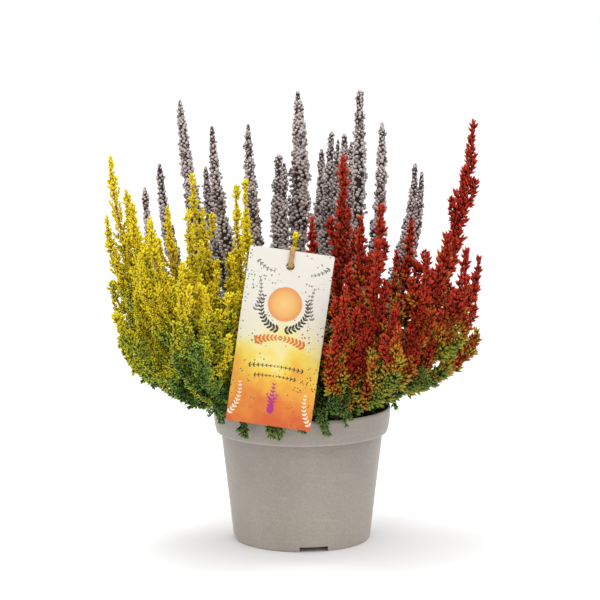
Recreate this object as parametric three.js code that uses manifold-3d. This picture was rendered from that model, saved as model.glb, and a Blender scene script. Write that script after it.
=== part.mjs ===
// Potted heather trio with a hang tag: silver bud spikes at the back, yellow plumes on the left and red
// plumes on the right, in one round moulded pot. Millimetres, +Z up. The origin is on the pot's axis, on
// the surface that it stands on, and the front looks towards -Y.

import * as THREE from 'three';
import { mergeVertices } from 'three/addons/utils/BufferGeometryUtils.js';
import Module from 'manifold-3d';

const wasm = await Module();
wasm.setup();

const { Vector2, Vector3 } = THREE;
const { degToRad } = THREE.MathUtils;
const UP = new Vector3(0, 0, 1);

// Clear space kept between pieces that touch
const GAP = 0.3;

// The pot, a 13 cm nursery pot with a wide band under its rim
const POT_SIDES = 36;
const SOIL_SIDES = 24;
const POT_HEIGHT = 99;
const RIM_RADIUS = 65;
const BAND_HEIGHT = 19;
const BODY_FOOT_RADIUS = 50.1;
const BODY_TOP_RADIUS = 59.3;
const POT_WALL = 1.8;
const FOOT_RING_WIDTH = 2.4;
const FOOT_BEVEL = 0.7;
const FOOT_FLARE = 0.2;
const FOOT_FLARE_HEIGHT = 2;
const FLOOR_UNDERSIDE = 4.4;
// The band steps out from the wall, swells to the rim and has a bevelled top; inside, the mouth tapers
// in to a small step
const BAND_STEP_IN = 3.3;
const BAND_STEP_RISE = 0.3;
const BAND_SWELL = 0.9;
const BAND_SWELL_HEIGHT = 6;
const RIM_BEVEL = 0.8;
const RIM_BEVEL_HEIGHT = 1.8;
const MOUTH_DROP = 0.4;
const MOUTH_TAPER = 1.1;
const MOUTH_STEP_TOP = 3;
const MOUTH_STEP_DROP = 1;
const NOTCH_WIDTH = 20.7;
const NOTCH_HEIGHT = 3.8;
const NOTCH_COUNT = 4;
const NOTCH_TURN = degToRad(10);
const DRAIN_RADIUS = 4;
const DRAIN_CIRCLE = 30;
const DRAIN_SIDES = 8;

// The peat, filled to a finger's width under the rim
const SOIL_TOP = 88;
const HOLE_DEPTH = 15;

// The card tag, turned a little in its own plane and leaning back on the foliage
const TAG_WIDTH = 60;
const TAG_LENGTH = 124;
const TAG_THICKNESS = 0.8;
const TAG_CORNER = 1.5;
const TAG_CENTRE = new Vector3(-15.3, -70, 159.6);
const TAG_TURN = degToRad(8.1);
const TAG_LEAN = degToRad(-7);
const TAG_HOLE_RADIUS = 3;
const TAG_HOLE_HEIGHT = 51;

// The fibre band that ties the tag to a stem: its middle line in the tag's own frame (across, behind,
// up) and how far its flat side is turned from lying along the tag, in degrees
const BAND_WIDTH = 3.6;
const BAND_THICKNESS = 0.8;
const BAND_STEPS = 28;
const BAND_ROUTE = [
  [0, 0.2, 50.4, 0],
  [0, -1.9, 51.4, 0],
  [0, -1.6, 56, 0],
  [0, -1.5, 61.4, 0],
  [0, 0.4, 64.2, 0],
  [-1.6, 5.5, 63, 35],
  [-4.6, 11, 59, 80],
  [-5.4, 17, 56, 90],
  [-3.4, 22.6, 54.4, 90],
  [0, 24.6, 54, 90],
  [3.4, 22.6, 53.6, 90],
  [5.4, 17, 52.6, 90],
  [4.6, 11, 51.6, 80],
  [1.6, 5, 50.6, 35],
];

// Where each stem's tip stands: x, y and z, with the silver plant behind the two coloured ones
const SILVER_TIPS = [
  [-115, 20, 256], [-105, 38, 271], [-90, 45, 318], [-83, 10, 263], [-72, 64, 266],
  [-66, 30, 300], [-40, 55, 299], [-38, 15, 278], [-17, 35, 279], [-3, 50, 323],
  [15, 82, 278], [22, 62, 293], [31, 22, 295], [43, 55, 324], [59, 40, 302],
  [84, 48, 271], [74, 84, 207], [-58, 98, 214], [-18, 106, 222],
  [30, 106, 206],
];
const YELLOW_TIPS = [
  [-135, -45, 284], [-118, -70, 255], [-105, -85, 245], [-96, -28, 247], [-82, -98, 218],
  [-80, -60, 250], [-79, -8, 269], [-47, -22, 262], [-40, -44, 269], [-4, -46, 231],
  [-134, 8, 198], [-131, -62, 178], [-130, -18, 152], [-68, -86, 198], [-112, 42, 186],
];
const RED_TIPS = [
  [7, -27, 241], [30, 0, 281], [42, -46, 242], [57, -22, 250], [53, -80, 231],
  [79, -8, 236], [89, -60, 219], [105, -25, 228], [116, -52, 220], [124, 10, 307],
  [132, 42, 203], [126, -20, 160], [30, -94, 201], [66, -102, 172],
];

// Low green sprigs: the tip, and the height that the sprig arches over on its way
const SPRIG_TIPS = [
  [-106, -48, 121, 128], [-58, -84, 108, 122], [-14, -74, 91, 116], [34, -76, 103, 118],
  [96, -54, 123, 130], [-62, 84, 120, 128], [58, 86, 118, 126],
];

// How the stems of a plant are set out and clothed. A stem starts at the plant's middle plus a share of
// the way to its tip. Tufts stand out from the stem by reach at the tip, growing by spread for each
// millimetre down to the full reach, on a slim core. The stem is bare for its first millimetres, and the
// silver plant's shoots are leafy for a share of their length, below their buds.
const SILVER = {
  name: 'silver_spike', colour: 0xb3a8aa, middle: [0, 22], tips: SILVER_TIPS,
  sides: 6, pitch: 7.6, lift: 4.8, core: 2.3, tipReach: 3.1, spread: 0.035, fullReach: 6.2,
  leafyShare: 0.42, leafyPitch: 13, leafyLift: 11, leafyReach: 12, branches: 0, bare: 14,
};
const YELLOW = {
  name: 'yellow_plume', colour: 0xcfc021, middle: [-25, -12], tips: YELLOW_TIPS,
  sides: 6, pitch: 12.6, lift: 10.5, core: 1.9, tipReach: 3.6, spread: 0.13, fullReach: 12.5,
  leafyShare: 0, branches: 2, branchLength: 44, bare: 14,
};
const RED = { ...YELLOW, name: 'red_plume', colour: 0xa8381d, middle: [25, -12], tips: RED_TIPS };
const SPRIG = {
  ...YELLOW, name: 'green_sprig', colour: 0x50682b, middle: [0, -6], tips: SPRIG_TIPS,
  pitch: 9, lift: 7, core: 1.5, tipReach: 2.6, spread: 0.12, fullReach: 7, branches: 0, bare: 8.4,
};
const PLANTS = [SILVER, YELLOW, RED, SPRIG];

const STEM_RADIUS = 1.6;
const HOLE_SIDES = 4;
const STEM_POINTS = 20;

// A stem's roots: the share of the way to its tip that they stand out, and the circle they stand in
const ROOT_SHARE = 0.28;
const ROOT_LIMIT = 45;

// A stem's habit, as shares of its run out and its rise: it leaves the crown steeply, turns up early
// and meets its tip leaning a little outwards
const FIRST_OUT = 0.34;
const FIRST_RISE = 0.3;
const LEAST_RISE = 32;
const LAST_OUT = -0.06;
const LAST_RISE = -0.55;
const ARCH_FIRST_OUT = 0.25;
const ARCH_LAST_OUT = -0.1;

// Spacing that stems are bent to, near the soil and, growing with height, in the open
const SPACING_LOW = 8.5;
const SPACING_GROWTH = 0.28;
const SPACING_FULL = 23;
const BEND_ROUNDS = 30;
const BEND_STEP = 0.22;
const BEND_LIMIT = 2;
const TIE_SPACING = 6;
const EDGE_SPACING = 9;
const EDGE_PUSH = 4;
const BEND_SMOOTHING = 0.25;
const TIP_HOLD = 5;

// The rim band as stems see it: its middle line inside the rim, and half its thickness
const RIM_MIDDLE = 1.2;
const RIM_HALF = 1.4;

// Leaves keep this far inside half the way to the next stem, and this far off the pot, tag and band
const LEAF_MARGIN = 0.7;

// Side branches: where on the stem they start, their run out, along the stem and up as shares of their
// length, the room they need, and the box that their tips stay in
const BRANCH_SIDES = 4;
const BRANCH_POINTS = 5;
const BRANCH_PITCH = 11;
const BRANCH_CORE = 1.4;
const BRANCH_REACH = 7;
const BRANCH_START = 0.3;
const BRANCH_START_SPAN = 0.42;
const BRANCH_OUT = 0.62;
const BRANCH_ALONG = 0.25;
const BRANCH_UP = 0.6;
const BRANCH_SHRINK = 0.2;
const BRANCH_ROOM = 5;
const BRANCH_TURNS = 8;
const BRANCH_BOX = [132, 104];
const BRANCH_LIFT = 0.7;
const BRANCH_TIP_CORE = 0.8;

// How tufts and core thin out towards a tip: at the tip, and more for each millimetre down from it
const TIP_LIFT = 1.5;
const TIP_LIFT_GROWTH = 0.35;
const TIP_CORE = 1.2;
const TIP_CORE_GROWTH = 0.06;
const CORE_SHARE = 0.55;
const APEX_RISE = 1;

// A stem's bare collar over the peat, and how near a tip the last ring of tufts may stand, in pitches
const COLLAR = 0.5;
const LAST_RING = 0.6;
const LAST_BRANCH_RING = 0.5;

const GOLDEN_ANGLE = Math.PI * (3 - Math.sqrt(5));

// A closed solid from a three.js geometry, with its shared points merged
function solidFrom(geometry) {
  const bare = new THREE.BufferGeometry();
  bare.setAttribute('position', geometry.getAttribute('position'));
  bare.setIndex(geometry.index);
  const merged = mergeVertices(bare, 1e-4);
  return new wasm.Manifold(new wasm.Mesh({
    numProp: 3,
    vertProperties: merged.attributes.position.array,
    triVerts: new Uint32Array(merged.index.array),
  }));
}

// A three.js geometry from a solid
function geometryFrom(solid) {
  const mesh = solid.getMesh();
  const geometry = new THREE.BufferGeometry();
  geometry.setAttribute('position', new THREE.BufferAttribute(mesh.vertProperties, 3));
  geometry.setIndex(new THREE.BufferAttribute(mesh.triVerts, 1));
  return geometry;
}

// A lathe-turned solid about +Z from a closed outline of [radius, height] points
function turned(outline, sides) {
  const points = outline.map(([radius, height]) => new Vector2(radius, height));
  return solidFrom(new THREE.LatheGeometry(points, sides).rotateX(Math.PI / 2));
}

// An upright prism that cuts a round hole, its flats at least the radius from its middle
function prism(radius, sides, bottom, top, x, y) {
  const across = radius / Math.cos(Math.PI / sides);
  const cutter = new THREE.CylinderGeometry(across, across, top - bottom, sides);
  return solidFrom(cutter.rotateX(Math.PI / 2).translate(x, y, (top + bottom) / 2));
}

function potSolid() {
  const bandFoot = POT_HEIGHT - BAND_HEIGHT;
  const outline = [
    [0, FLOOR_UNDERSIDE],
    [BODY_FOOT_RADIUS - FOOT_RING_WIDTH, FLOOR_UNDERSIDE],
    [BODY_FOOT_RADIUS - FOOT_RING_WIDTH, 0],
    [BODY_FOOT_RADIUS - FOOT_BEVEL, 0],
    [BODY_FOOT_RADIUS + FOOT_FLARE, FOOT_FLARE_HEIGHT],
    [BODY_TOP_RADIUS, bandFoot],
    [RIM_RADIUS - BAND_STEP_IN, bandFoot + BAND_STEP_RISE],
    [RIM_RADIUS - BAND_SWELL, bandFoot + BAND_SWELL_HEIGHT],
    [RIM_RADIUS, POT_HEIGHT - RIM_BEVEL_HEIGHT],
    [RIM_RADIUS - RIM_BEVEL, POT_HEIGHT],
    [RIM_RADIUS - POT_WALL, POT_HEIGHT - MOUTH_DROP],
    [RIM_RADIUS - POT_WALL - MOUTH_TAPER, bandFoot + MOUTH_STEP_TOP],
    [BODY_TOP_RADIUS - POT_WALL, bandFoot - MOUTH_STEP_DROP],
    [BODY_FOOT_RADIUS - POT_WALL, FLOOR_UNDERSIDE + POT_WALL],
    [0, FLOOR_UNDERSIDE + POT_WALL],
  ];
  let pot = turned(outline, POT_SIDES);
  for (let i = 0; i < NOTCH_COUNT; i++) {
    const turn = NOTCH_TURN + (i * 2 * Math.PI) / NOTCH_COUNT;
    const notch = new THREE.BoxGeometry(NOTCH_WIDTH, 4 * FOOT_RING_WIDTH, 2 * NOTCH_HEIGHT);
    pot = pot.subtract(solidFrom(notch.translate(0, -BODY_FOOT_RADIUS, 0).rotateZ(turn)));
    const x = DRAIN_CIRCLE * Math.sin(turn);
    const y = DRAIN_CIRCLE * Math.cos(turn);
    pot = pot.subtract(prism(DRAIN_RADIUS, DRAIN_SIDES, 0, 2 * FLOOR_UNDERSIDE + POT_WALL, x, y));
  }
  return pot;
}

function soilSolid(stems) {
  const bandFoot = POT_HEIGHT - BAND_HEIGHT;
  const mouth = RIM_RADIUS - POT_WALL - MOUTH_TAPER - 2 * GAP;
  const outline = [
    [0, FLOOR_UNDERSIDE + POT_WALL + GAP],
    [BODY_FOOT_RADIUS - POT_WALL - 2 * GAP, FLOOR_UNDERSIDE + POT_WALL + GAP],
    [BODY_TOP_RADIUS - POT_WALL - 2 * GAP, bandFoot - MOUTH_STEP_DROP],
    [mouth, bandFoot + MOUTH_STEP_TOP + GAP],
    [mouth, SOIL_TOP],
    [0, SOIL_TOP],
  ];
  const holes = stems.map(({ points: [root] }) =>
    prism(STEM_RADIUS + GAP, HOLE_SIDES, SOIL_TOP - HOLE_DEPTH, SOIL_TOP + 1, root.x, root.y));
  return turned(outline, SOIL_SIDES).subtract(wasm.Manifold.union(holes));
}

// The tag's own frame, with x across it, y behind it and z up it
const tagFrame = new THREE.Matrix4().compose(
  TAG_CENTRE,
  new THREE.Quaternion().setFromEuler(new THREE.Euler(TAG_LEAN, TAG_TURN, 0)),
  new Vector3(1, 1, 1),
);
const intoTagFrame = tagFrame.clone().invert();

function tagGeometry() {
  const x = TAG_WIDTH / 2;
  const y = TAG_LENGTH / 2;
  const card = new THREE.Shape();
  card.moveTo(-x + TAG_CORNER, -y);
  card.lineTo(x - TAG_CORNER, -y);
  card.lineTo(x, -y + TAG_CORNER);
  card.lineTo(x, y - TAG_CORNER);
  card.lineTo(x - TAG_CORNER, y);
  card.lineTo(-x + TAG_CORNER, y);
  card.lineTo(-x, y - TAG_CORNER);
  card.lineTo(-x, -y + TAG_CORNER);
  card.holes.push(new THREE.Path().absarc(0, TAG_HOLE_HEIGHT, TAG_HOLE_RADIUS, 0, 2 * Math.PI, true));
  return new THREE.ExtrudeGeometry(card, {
    depth: TAG_THICKNESS, bevelEnabled: false, curveSegments: 5,
  }).translate(0, 0, -TAG_THICKNESS / 2).rotateX(Math.PI / 2);
}

// The band's middle line, and at each point of it the direction of its flat width
function bandFrames() {
  const line = new THREE.CatmullRomCurve3(
    BAND_ROUTE.map(([x, y, z]) => new Vector3(x, y, z)), true, 'catmullrom', 0.5);
  const frames = [];
  for (let i = 0; i < BAND_STEPS; i++) {
    const share = (i / BAND_STEPS) * BAND_ROUTE.length;
    const before = BAND_ROUTE[Math.floor(share)][3];
    const after = BAND_ROUTE[(Math.floor(share) + 1) % BAND_ROUTE.length][3];
    const turn = degToRad(THREE.MathUtils.lerp(before, after, share % 1));
    const point = line.getPoint(i / BAND_STEPS);
    const along = line.getTangent(i / BAND_STEPS);
    const wide = new Vector3(Math.cos(turn), 0, Math.sin(turn));
    wide.addScaledVector(along, -wide.dot(along)).normalize();
    frames.push({ point, wide, thick: new Vector3().crossVectors(along, wide) });
  }
  return frames;
}

function bandGeometry() {
  const corners = [[-1, -1], [1, -1], [1, 1], [-1, 1]];
  const positions = [];
  const faces = [];
  bandFrames().forEach(({ point, wide, thick }, i) => {
    for (const [across, through] of corners) {
      const corner = point.clone()
        .addScaledVector(wide, (across * BAND_WIDTH) / 2)
        .addScaledVector(thick, (through * BAND_THICKNESS) / 2);
      positions.push(corner.x, corner.y, corner.z);
    }
    for (let k = 0; k < 4; k++) {
      const a = 4 * i + k;
      const b = 4 * i + ((k + 1) % 4);
      const next = 4 * ((i + 1) % BAND_STEPS);
      faces.push(a, b, next + ((k + 1) % 4), a, next + ((k + 1) % 4), next + k);
    }
  });
  return meshData(positions, faces);
}

function meshData(positions, faces) {
  const geometry = new THREE.BufferGeometry();
  geometry.setAttribute('position', new THREE.Float32BufferAttribute(positions, 3));
  geometry.setIndex(faces);
  return geometry;
}

// A point on the smooth curve through four control points
function bezier([a, b, c, d], t) {
  const s = 1 - t;
  return new Vector3()
    .addScaledVector(a, s * s * s)
    .addScaledVector(b, 3 * s * s * t)
    .addScaledVector(c, 3 * s * t * t)
    .addScaledVector(d, t * t * t);
}

// A stem before it is bent clear: out from the crown of its plant, then up to its tip
function stemCurve(plant, [x, y, z, arch]) {
  const tip = new Vector3(x, y, z);
  const root = new Vector3(...plant.middle, SOIL_TOP);
  root.x += ROOT_SHARE * (x - root.x);
  root.y += ROOT_SHARE * (y - root.y);
  const inwards = Math.min(1, ROOT_LIMIT / Math.hypot(root.x, root.y));
  root.x *= inwards;
  root.y *= inwards;
  const out = new Vector3(x - root.x, y - root.y, 0);
  const rise = z - SOIL_TOP;
  const first = root.clone().addScaledVector(out, FIRST_OUT);
  first.z += Math.max(LEAST_RISE, FIRST_RISE * rise);
  const second = tip.clone().addScaledVector(out, LAST_OUT);
  second.z += LAST_RISE * rise;
  if (arch) {
    first.copy(root).addScaledVector(out, ARCH_FIRST_OUT).setZ(arch);
    second.copy(tip).addScaledVector(out, ARCH_LAST_OUT).setZ(arch);
  }
  return Array.from({ length: STEM_POINTS + 1 }, (_, i) =>
    bezier([root, first, second, tip], i / STEM_POINTS));
}

// The way from the pot's rim band, the tag or the peat to a point, which counts as clear of them
function fromRim(point) {
  const radius = Math.hypot(point.x, point.y);
  const middle = RIM_RADIUS - RIM_MIDDLE;
  const height = THREE.MathUtils.clamp(point.z, POT_HEIGHT - BAND_HEIGHT, POT_HEIGHT - 1);
  const out = (radius - middle) / radius;
  const way = new Vector3(point.x * out, point.y * out, point.z - height);
  return { way, room: way.length() - RIM_HALF };
}

function fromTag(point) {
  const own = point.clone().applyMatrix4(intoTagFrame);
  const nearest = new Vector3(
    THREE.MathUtils.clamp(own.x, -TAG_WIDTH / 2, TAG_WIDTH / 2), 0,
    THREE.MathUtils.clamp(own.z, -TAG_LENGTH / 2, TAG_LENGTH / 2));
  const way = point.clone().sub(nearest.applyMatrix4(tagFrame));
  return { way, room: way.length() - TAG_THICKNESS / 2 };
}

function fromSoil(point) {
  return { way: UP.clone(), room: point.z - SOIL_TOP };
}

const bandPoints = bandFrames().map(({ point }) => point.applyMatrix4(tagFrame));

// Stems too near each other, the rim, the tag or the tie are pushed apart a little at a time. Roots
// slide on the peat, tips stay, and the bend of each stem is kept smooth.
function bendClear(stems) {
  const start = stems.map((stem) => stem.points.map((point) => point.clone()));
  const bend = stems.map((stem) => stem.points.map(() => new Vector3()));
  for (let round = 0; round < BEND_ROUNDS; round++) {
    const pushes = stems.map((stem, s) => stem.points.map((point, i) => {
      const push = new Vector3();
      const lean = (way, distance, wanted) => {
        if (distance < wanted) push.addScaledVector(way, (BEND_STEP * (wanted - distance)) / way.length());
      };
      stems.forEach((other, o) => {
        if (o === s) return;
        for (const near of other.points) {
          const height = (point.z + near.z) / 2 - SOIL_TOP;
          const wanted = Math.min(SPACING_FULL, SPACING_LOW + SPACING_GROWTH * height);
          const way = point.clone().sub(near);
          lean(way, way.length(), wanted);
        }
      });
      for (const near of bandPoints) {
        const way = point.clone().sub(near);
        lean(way, way.length(), TIE_SPACING);
      }
      push.clampLength(0, BEND_LIMIT);
      for (const { way, room } of [fromRim(point), fromTag(point)]) {
        lean(way, EDGE_PUSH * room, EDGE_PUSH * EDGE_SPACING);
      }
      if (i === 0) push.z = 0;
      const free = Math.min(1, (STEM_POINTS - i) / TIP_HOLD);
      return push.clampLength(0, 2 * BEND_LIMIT).multiplyScalar(free);
    }));
    bend.forEach((moves, s) => {
      moves.forEach((move, i) => move.add(pushes[s][i]));
      const old = moves.map((move) => move.clone());
      for (let i = 0; i < STEM_POINTS; i++) {
        const before = old[Math.max(0, i - 1)];
        moves[i].addScaledVector(before, BEND_SMOOTHING);
        moves[i].addScaledVector(old[i], -2 * BEND_SMOOTHING);
        moves[i].addScaledVector(old[i + 1], BEND_SMOOTHING);
      }
      moves[0].z = 0;
      stems[s].points.forEach((point, i) => point.copy(start[s][i]).add(moves[i]));
      const root = stems[s].points[0];
      const inwards = Math.min(1, ROOT_LIMIT / Math.hypot(root.x, root.y));
      root.x *= inwards;
      root.y *= inwards;
    });
  }
}

// The room for leaves round a point: half the way to the nearest other stem, and all of the way to the
// pot, the tag, the tie and the peat
function roomAt(point, stem, stems) {
  let room = Math.min(fromRim(point).room, fromTag(point).room, fromSoil(point).room);
  for (const near of bandPoints) room = Math.min(room, point.distanceTo(near) - BAND_WIDTH / 2);
  for (const other of stems) {
    if (other === stem) continue;
    for (const near of other.all) room = Math.min(room, point.distanceTo(near) / 2);
  }
  return room - LEAF_MARGIN;
}

// The least room on a stretch of a curve, where a tuft starts, half-way up it and at its tip
function roomAlong(curve, from, to, stem, stems) {
  const length = curve.getLength();
  const rooms = [from, (from + to) / 2, to].map((travel) =>
    roomAt(curve.getPointAt(Math.min(1, travel / length)), stem, stems));
  return Math.min(...rooms);
}

// Branches take the most open of eight directions and are shorter where there is little room
function growBranches(stem, index, stems) {
  const { plant, points } = stem;
  stem.branches = [];
  for (let b = 0; b < plant.branches; b++) {
    const share = BRANCH_START + (BRANCH_START_SPAN * b) / plant.branches;
    const from = Math.round(share * STEM_POINTS);
    const along = points[from + 1].clone().sub(points[from]).normalize();
    const length = plant.branchLength * (1 - BRANCH_SHRINK * b);
    let best = null;
    for (let turn = 0; turn < BRANCH_TURNS; turn++) {
      const angle = (index + b) * GOLDEN_ANGLE + (turn * 2 * Math.PI) / BRANCH_TURNS;
      const out = new Vector3(Math.cos(angle), Math.sin(angle), 0);
      const line = Array.from({ length: BRANCH_POINTS + 1 }, (_, i) => {
        const t = i / BRANCH_POINTS;
        return points[from].clone()
          .addScaledVector(out, BRANCH_OUT * length * Math.sin((t * Math.PI) / 2))
          .addScaledVector(along, BRANCH_ALONG * length * t)
          .addScaledVector(UP, BRANCH_UP * length * t * t);
      });
      const end = line[BRANCH_POINTS];
      const outside = Math.abs(end.x) > BRANCH_BOX[0] || Math.abs(end.y) > BRANCH_BOX[1];
      const room = Math.min(...line.slice(2).map((point) => roomAt(point, stem, stems)));
      if (!outside && (!best || room > best.room)) best = { line, room };
    }
    if (!best || best.room < BRANCH_ROOM) continue;
    stem.branches.push(best.line);
    stem.all.push(...best.line.slice(1));
  }
}

// A leafy shoot or bud spike. Rings of points climb the curve, and every other point is drawn out and
// up into a tuft, so each tuft is a four-faced spike on the slim stem between its neighbours.
function shootGeometry(rings, sides, apex) {
  const positions = [];
  const faces = [];
  let normal = new Vector3(1, 0, 0);
  rings.forEach(({ centre, along, core, reach, lift }, j) => {
    normal = normal.clone().addScaledVector(along, -normal.dot(along)).normalize();
    const side = new Vector3().crossVectors(along, normal);
    for (let k = 0; k < sides; k++) {
      const angle = (k * 2 * Math.PI) / sides;
      const out = normal.clone().multiplyScalar(Math.cos(angle)).addScaledVector(side, Math.sin(angle));
      const drawn = reach > 0 && (j + k) % 2 === 0;
      const point = centre.clone().addScaledVector(out, drawn ? Math.max(reach, core) : core);
      if (drawn) point.addScaledVector(along, lift);
      positions.push(point.x, point.y, point.z);
    }
  });
  for (let j = 0; j + 1 < rings.length; j++) {
    for (let k = 0; k < sides; k++) {
      const a = j * sides + k;
      const b = j * sides + ((k + 1) % sides);
      const c = b + sides;
      const d = a + sides;
      if ((j + k) % 2 === 0) faces.push(a, b, d, b, c, d);
      else faces.push(a, b, c, a, c, d);
    }
  }
  const last = (rings.length - 1) * sides;
  const foot = positions.length / 3;
  positions.push(...rings[0].centre.toArray(), ...apex.toArray());
  for (let k = 0; k < sides; k++) {
    const next = (k + 1) % sides;
    faces.push(foot, next, k, foot + 1, last + k, last + next);
  }
  return meshData(positions, faces);
}

// Rings of a main stem: a bare foot in its hole, then leafy rings, closer together on a bud spike
function stemRings(stem, stems) {
  const { plant } = stem;
  const curve = new THREE.CatmullRomCurve3(stem.points);
  const length = curve.getLength();
  const root = stem.points[0];
  const foot = root.clone().setZ(SOIL_TOP - HOLE_DEPTH + GAP);
  const rings = [foot, root.clone().setZ(SOIL_TOP + COLLAR)].map((centre) =>
    ({ centre, along: UP, core: STEM_RADIUS, reach: 0, lift: 0 }));
  let travel = plant.bare;
  while (travel < length - LAST_RING * plant.pitch) {
    const left = length - travel;
    const leafy = travel < plant.leafyShare * length;
    const pitch = leafy ? plant.leafyPitch : plant.pitch;
    const lift = leafy ? plant.leafyLift : Math.min(plant.lift, TIP_LIFT + TIP_LIFT_GROWTH * left);
    const centre = curve.getPointAt(travel / length);
    const room = roomAlong(curve, travel, travel + lift, stem, stems);
    const grown = Math.min(plant.fullReach, plant.tipReach + plant.spread * left);
    const reach = Math.min(leafy ? plant.leafyReach : grown, room);
    const most = CORE_SHARE * Math.max(reach, STEM_RADIUS);
    const core = Math.min(plant.core, most, TIP_CORE + TIP_CORE_GROWTH * left);
    rings.push({ centre, along: curve.getTangentAt(travel / length), core, reach, lift });
    travel += pitch;
  }
  return { rings, apex: curve.getPointAt(1).addScaledVector(UP, APEX_RISE) };
}

function branchRings(line, stem, stems) {
  const { plant } = stem;
  const curve = new THREE.CatmullRomCurve3(line);
  const length = curve.getLength();
  const rings = [];
  for (let travel = 0; travel < length - LAST_BRANCH_RING * BRANCH_PITCH; travel += BRANCH_PITCH) {
    const left = length - travel;
    const lift = BRANCH_LIFT * plant.lift;
    const room = roomAlong(curve, travel, travel + lift, stem, stems);
    const grown = Math.min(BRANCH_REACH, plant.tipReach + plant.spread * left, room);
    const reach = travel === 0 ? 0 : grown;
    const core = Math.min(BRANCH_CORE, BRANCH_TIP_CORE + TIP_CORE_GROWTH * left);
    const along = curve.getTangentAt(travel / length);
    rings.push({ centre: curve.getPointAt(travel / length), along, core, reach, lift });
  }
  return { rings, apex: curve.getPointAt(1) };
}

function stemSolid(stem, stems) {
  const { rings, apex } = stemRings(stem, stems);
  const parts = [solidFrom(shootGeometry(rings, stem.plant.sides, apex))];
  for (const line of stem.branches) {
    const branch = branchRings(line, stem, stems);
    parts.push(solidFrom(shootGeometry(branch.rings, BRANCH_SIDES, branch.apex)));
  }
  return outerBody(wasm.Manifold.union(parts));
}

// The largest body of a union, without the scraps and the small hollows that fusing can leave
function outerBody(solid) {
  return solid.decompose().sort((a, b) => b.volume() - a.volume())[0];
}

function piece(name, geometry, colour, roughness) {
  const material = new THREE.MeshStandardMaterial({ color: colour, roughness, metalness: 0 });
  const mesh = new THREE.Mesh(geometry, material);
  mesh.name = name;
  return mesh;
}

const stems = PLANTS.flatMap((plant) => plant.tips.map((tip, i) => {
  const number = String(i + 1).padStart(2, '0');
  return { name: `${plant.name}_${number}`, plant, points: stemCurve(plant, tip) };
}));
bendClear(stems);
for (const stem of stems) stem.all = [...stem.points];
stems.forEach((stem, index) => growBranches(stem, index, stems));

const heather = new THREE.Group();
heather.add(piece('pot', geometryFrom(potSolid()), 0xa69d94, 0.55));
heather.add(piece('soil', geometryFrom(soilSolid(stems)), 0x2e2119, 1));

const tagged = new THREE.Group();
tagged.applyMatrix4(tagFrame);
tagged.add(piece('tag', tagGeometry(), 0xf4e6c4, 0.5));
tagged.add(piece('tag_band', bandGeometry(), 0xc9a06a, 0.9));
heather.add(tagged);

const plants = new THREE.Group();
for (const stem of stems) {
  plants.add(piece(stem.name, geometryFrom(stemSolid(stem, stems)), stem.plant.colour, 0.8));
}
heather.add(plants);

export default heather;
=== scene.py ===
"""Potted heather trio: silver bud spikes at the back, yellow plumes on the left and red plumes on the
right, in one round moulded pot with a card tag tied to a stem.

It is laid out as an add-on for Blender 4.5 and is run as a script. The packed solids of the part are
loaded first, and every piece made here stands where its solid stands and rides on the part's one body.
"""

import math
from functools import lru_cache
from types import SimpleNamespace

import bmesh
import bpy
import numpy as np
from bpy.props import FloatProperty, FloatVectorProperty, IntProperty, PointerProperty
from mathutils import Matrix, Vector, noise


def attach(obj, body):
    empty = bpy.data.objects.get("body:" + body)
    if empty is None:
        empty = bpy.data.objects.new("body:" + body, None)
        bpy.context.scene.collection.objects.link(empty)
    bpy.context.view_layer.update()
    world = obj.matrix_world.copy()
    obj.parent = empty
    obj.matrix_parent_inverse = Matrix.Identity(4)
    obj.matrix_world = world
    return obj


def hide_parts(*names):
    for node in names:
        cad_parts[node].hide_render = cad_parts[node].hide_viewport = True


bl_info = {
    "name": "Potted Heather Trio",
    "version": (1, 0, 0),
    "blender": (4, 5, 0),
    "location": "View3D > Sidebar > Heather",
    "description": "Dresses a potted trio of heathers over its packed frame",
    "category": "Add Mesh",
}

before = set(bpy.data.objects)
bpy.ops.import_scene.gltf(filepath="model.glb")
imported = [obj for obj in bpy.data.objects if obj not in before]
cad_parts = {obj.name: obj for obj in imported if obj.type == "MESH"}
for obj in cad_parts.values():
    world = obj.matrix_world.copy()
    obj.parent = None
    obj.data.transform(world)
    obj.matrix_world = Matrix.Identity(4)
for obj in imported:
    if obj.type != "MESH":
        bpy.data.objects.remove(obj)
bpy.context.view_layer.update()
BODY = "root"

# Lengths below are in millimetres, and Blender's are in metres
MM = 0.001

# The pot and its peat, as their solids have them
POT_HEIGHT = 99
RIM_RADIUS = 65
BAND_HEIGHT = 19
BAND_EDGE = 80.6
BODY_FOOT_RADIUS = 50.1
BODY_TOP_RADIUS = 59.3
POT_WALL = 1.8
FOOT_RING_WIDTH = 2.4
FLOOR_UNDERSIDE = 4.4
NOTCH_SIZE = (20.7, 9.6, 7.6)
NOTCH_COUNT = 4
NOTCH_TURN = math.radians(10)
DRAIN_RADIUS = 4
DRAIN_CIRCLE = 30
SOIL_TOP = 88
GAP = 0.3

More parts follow.
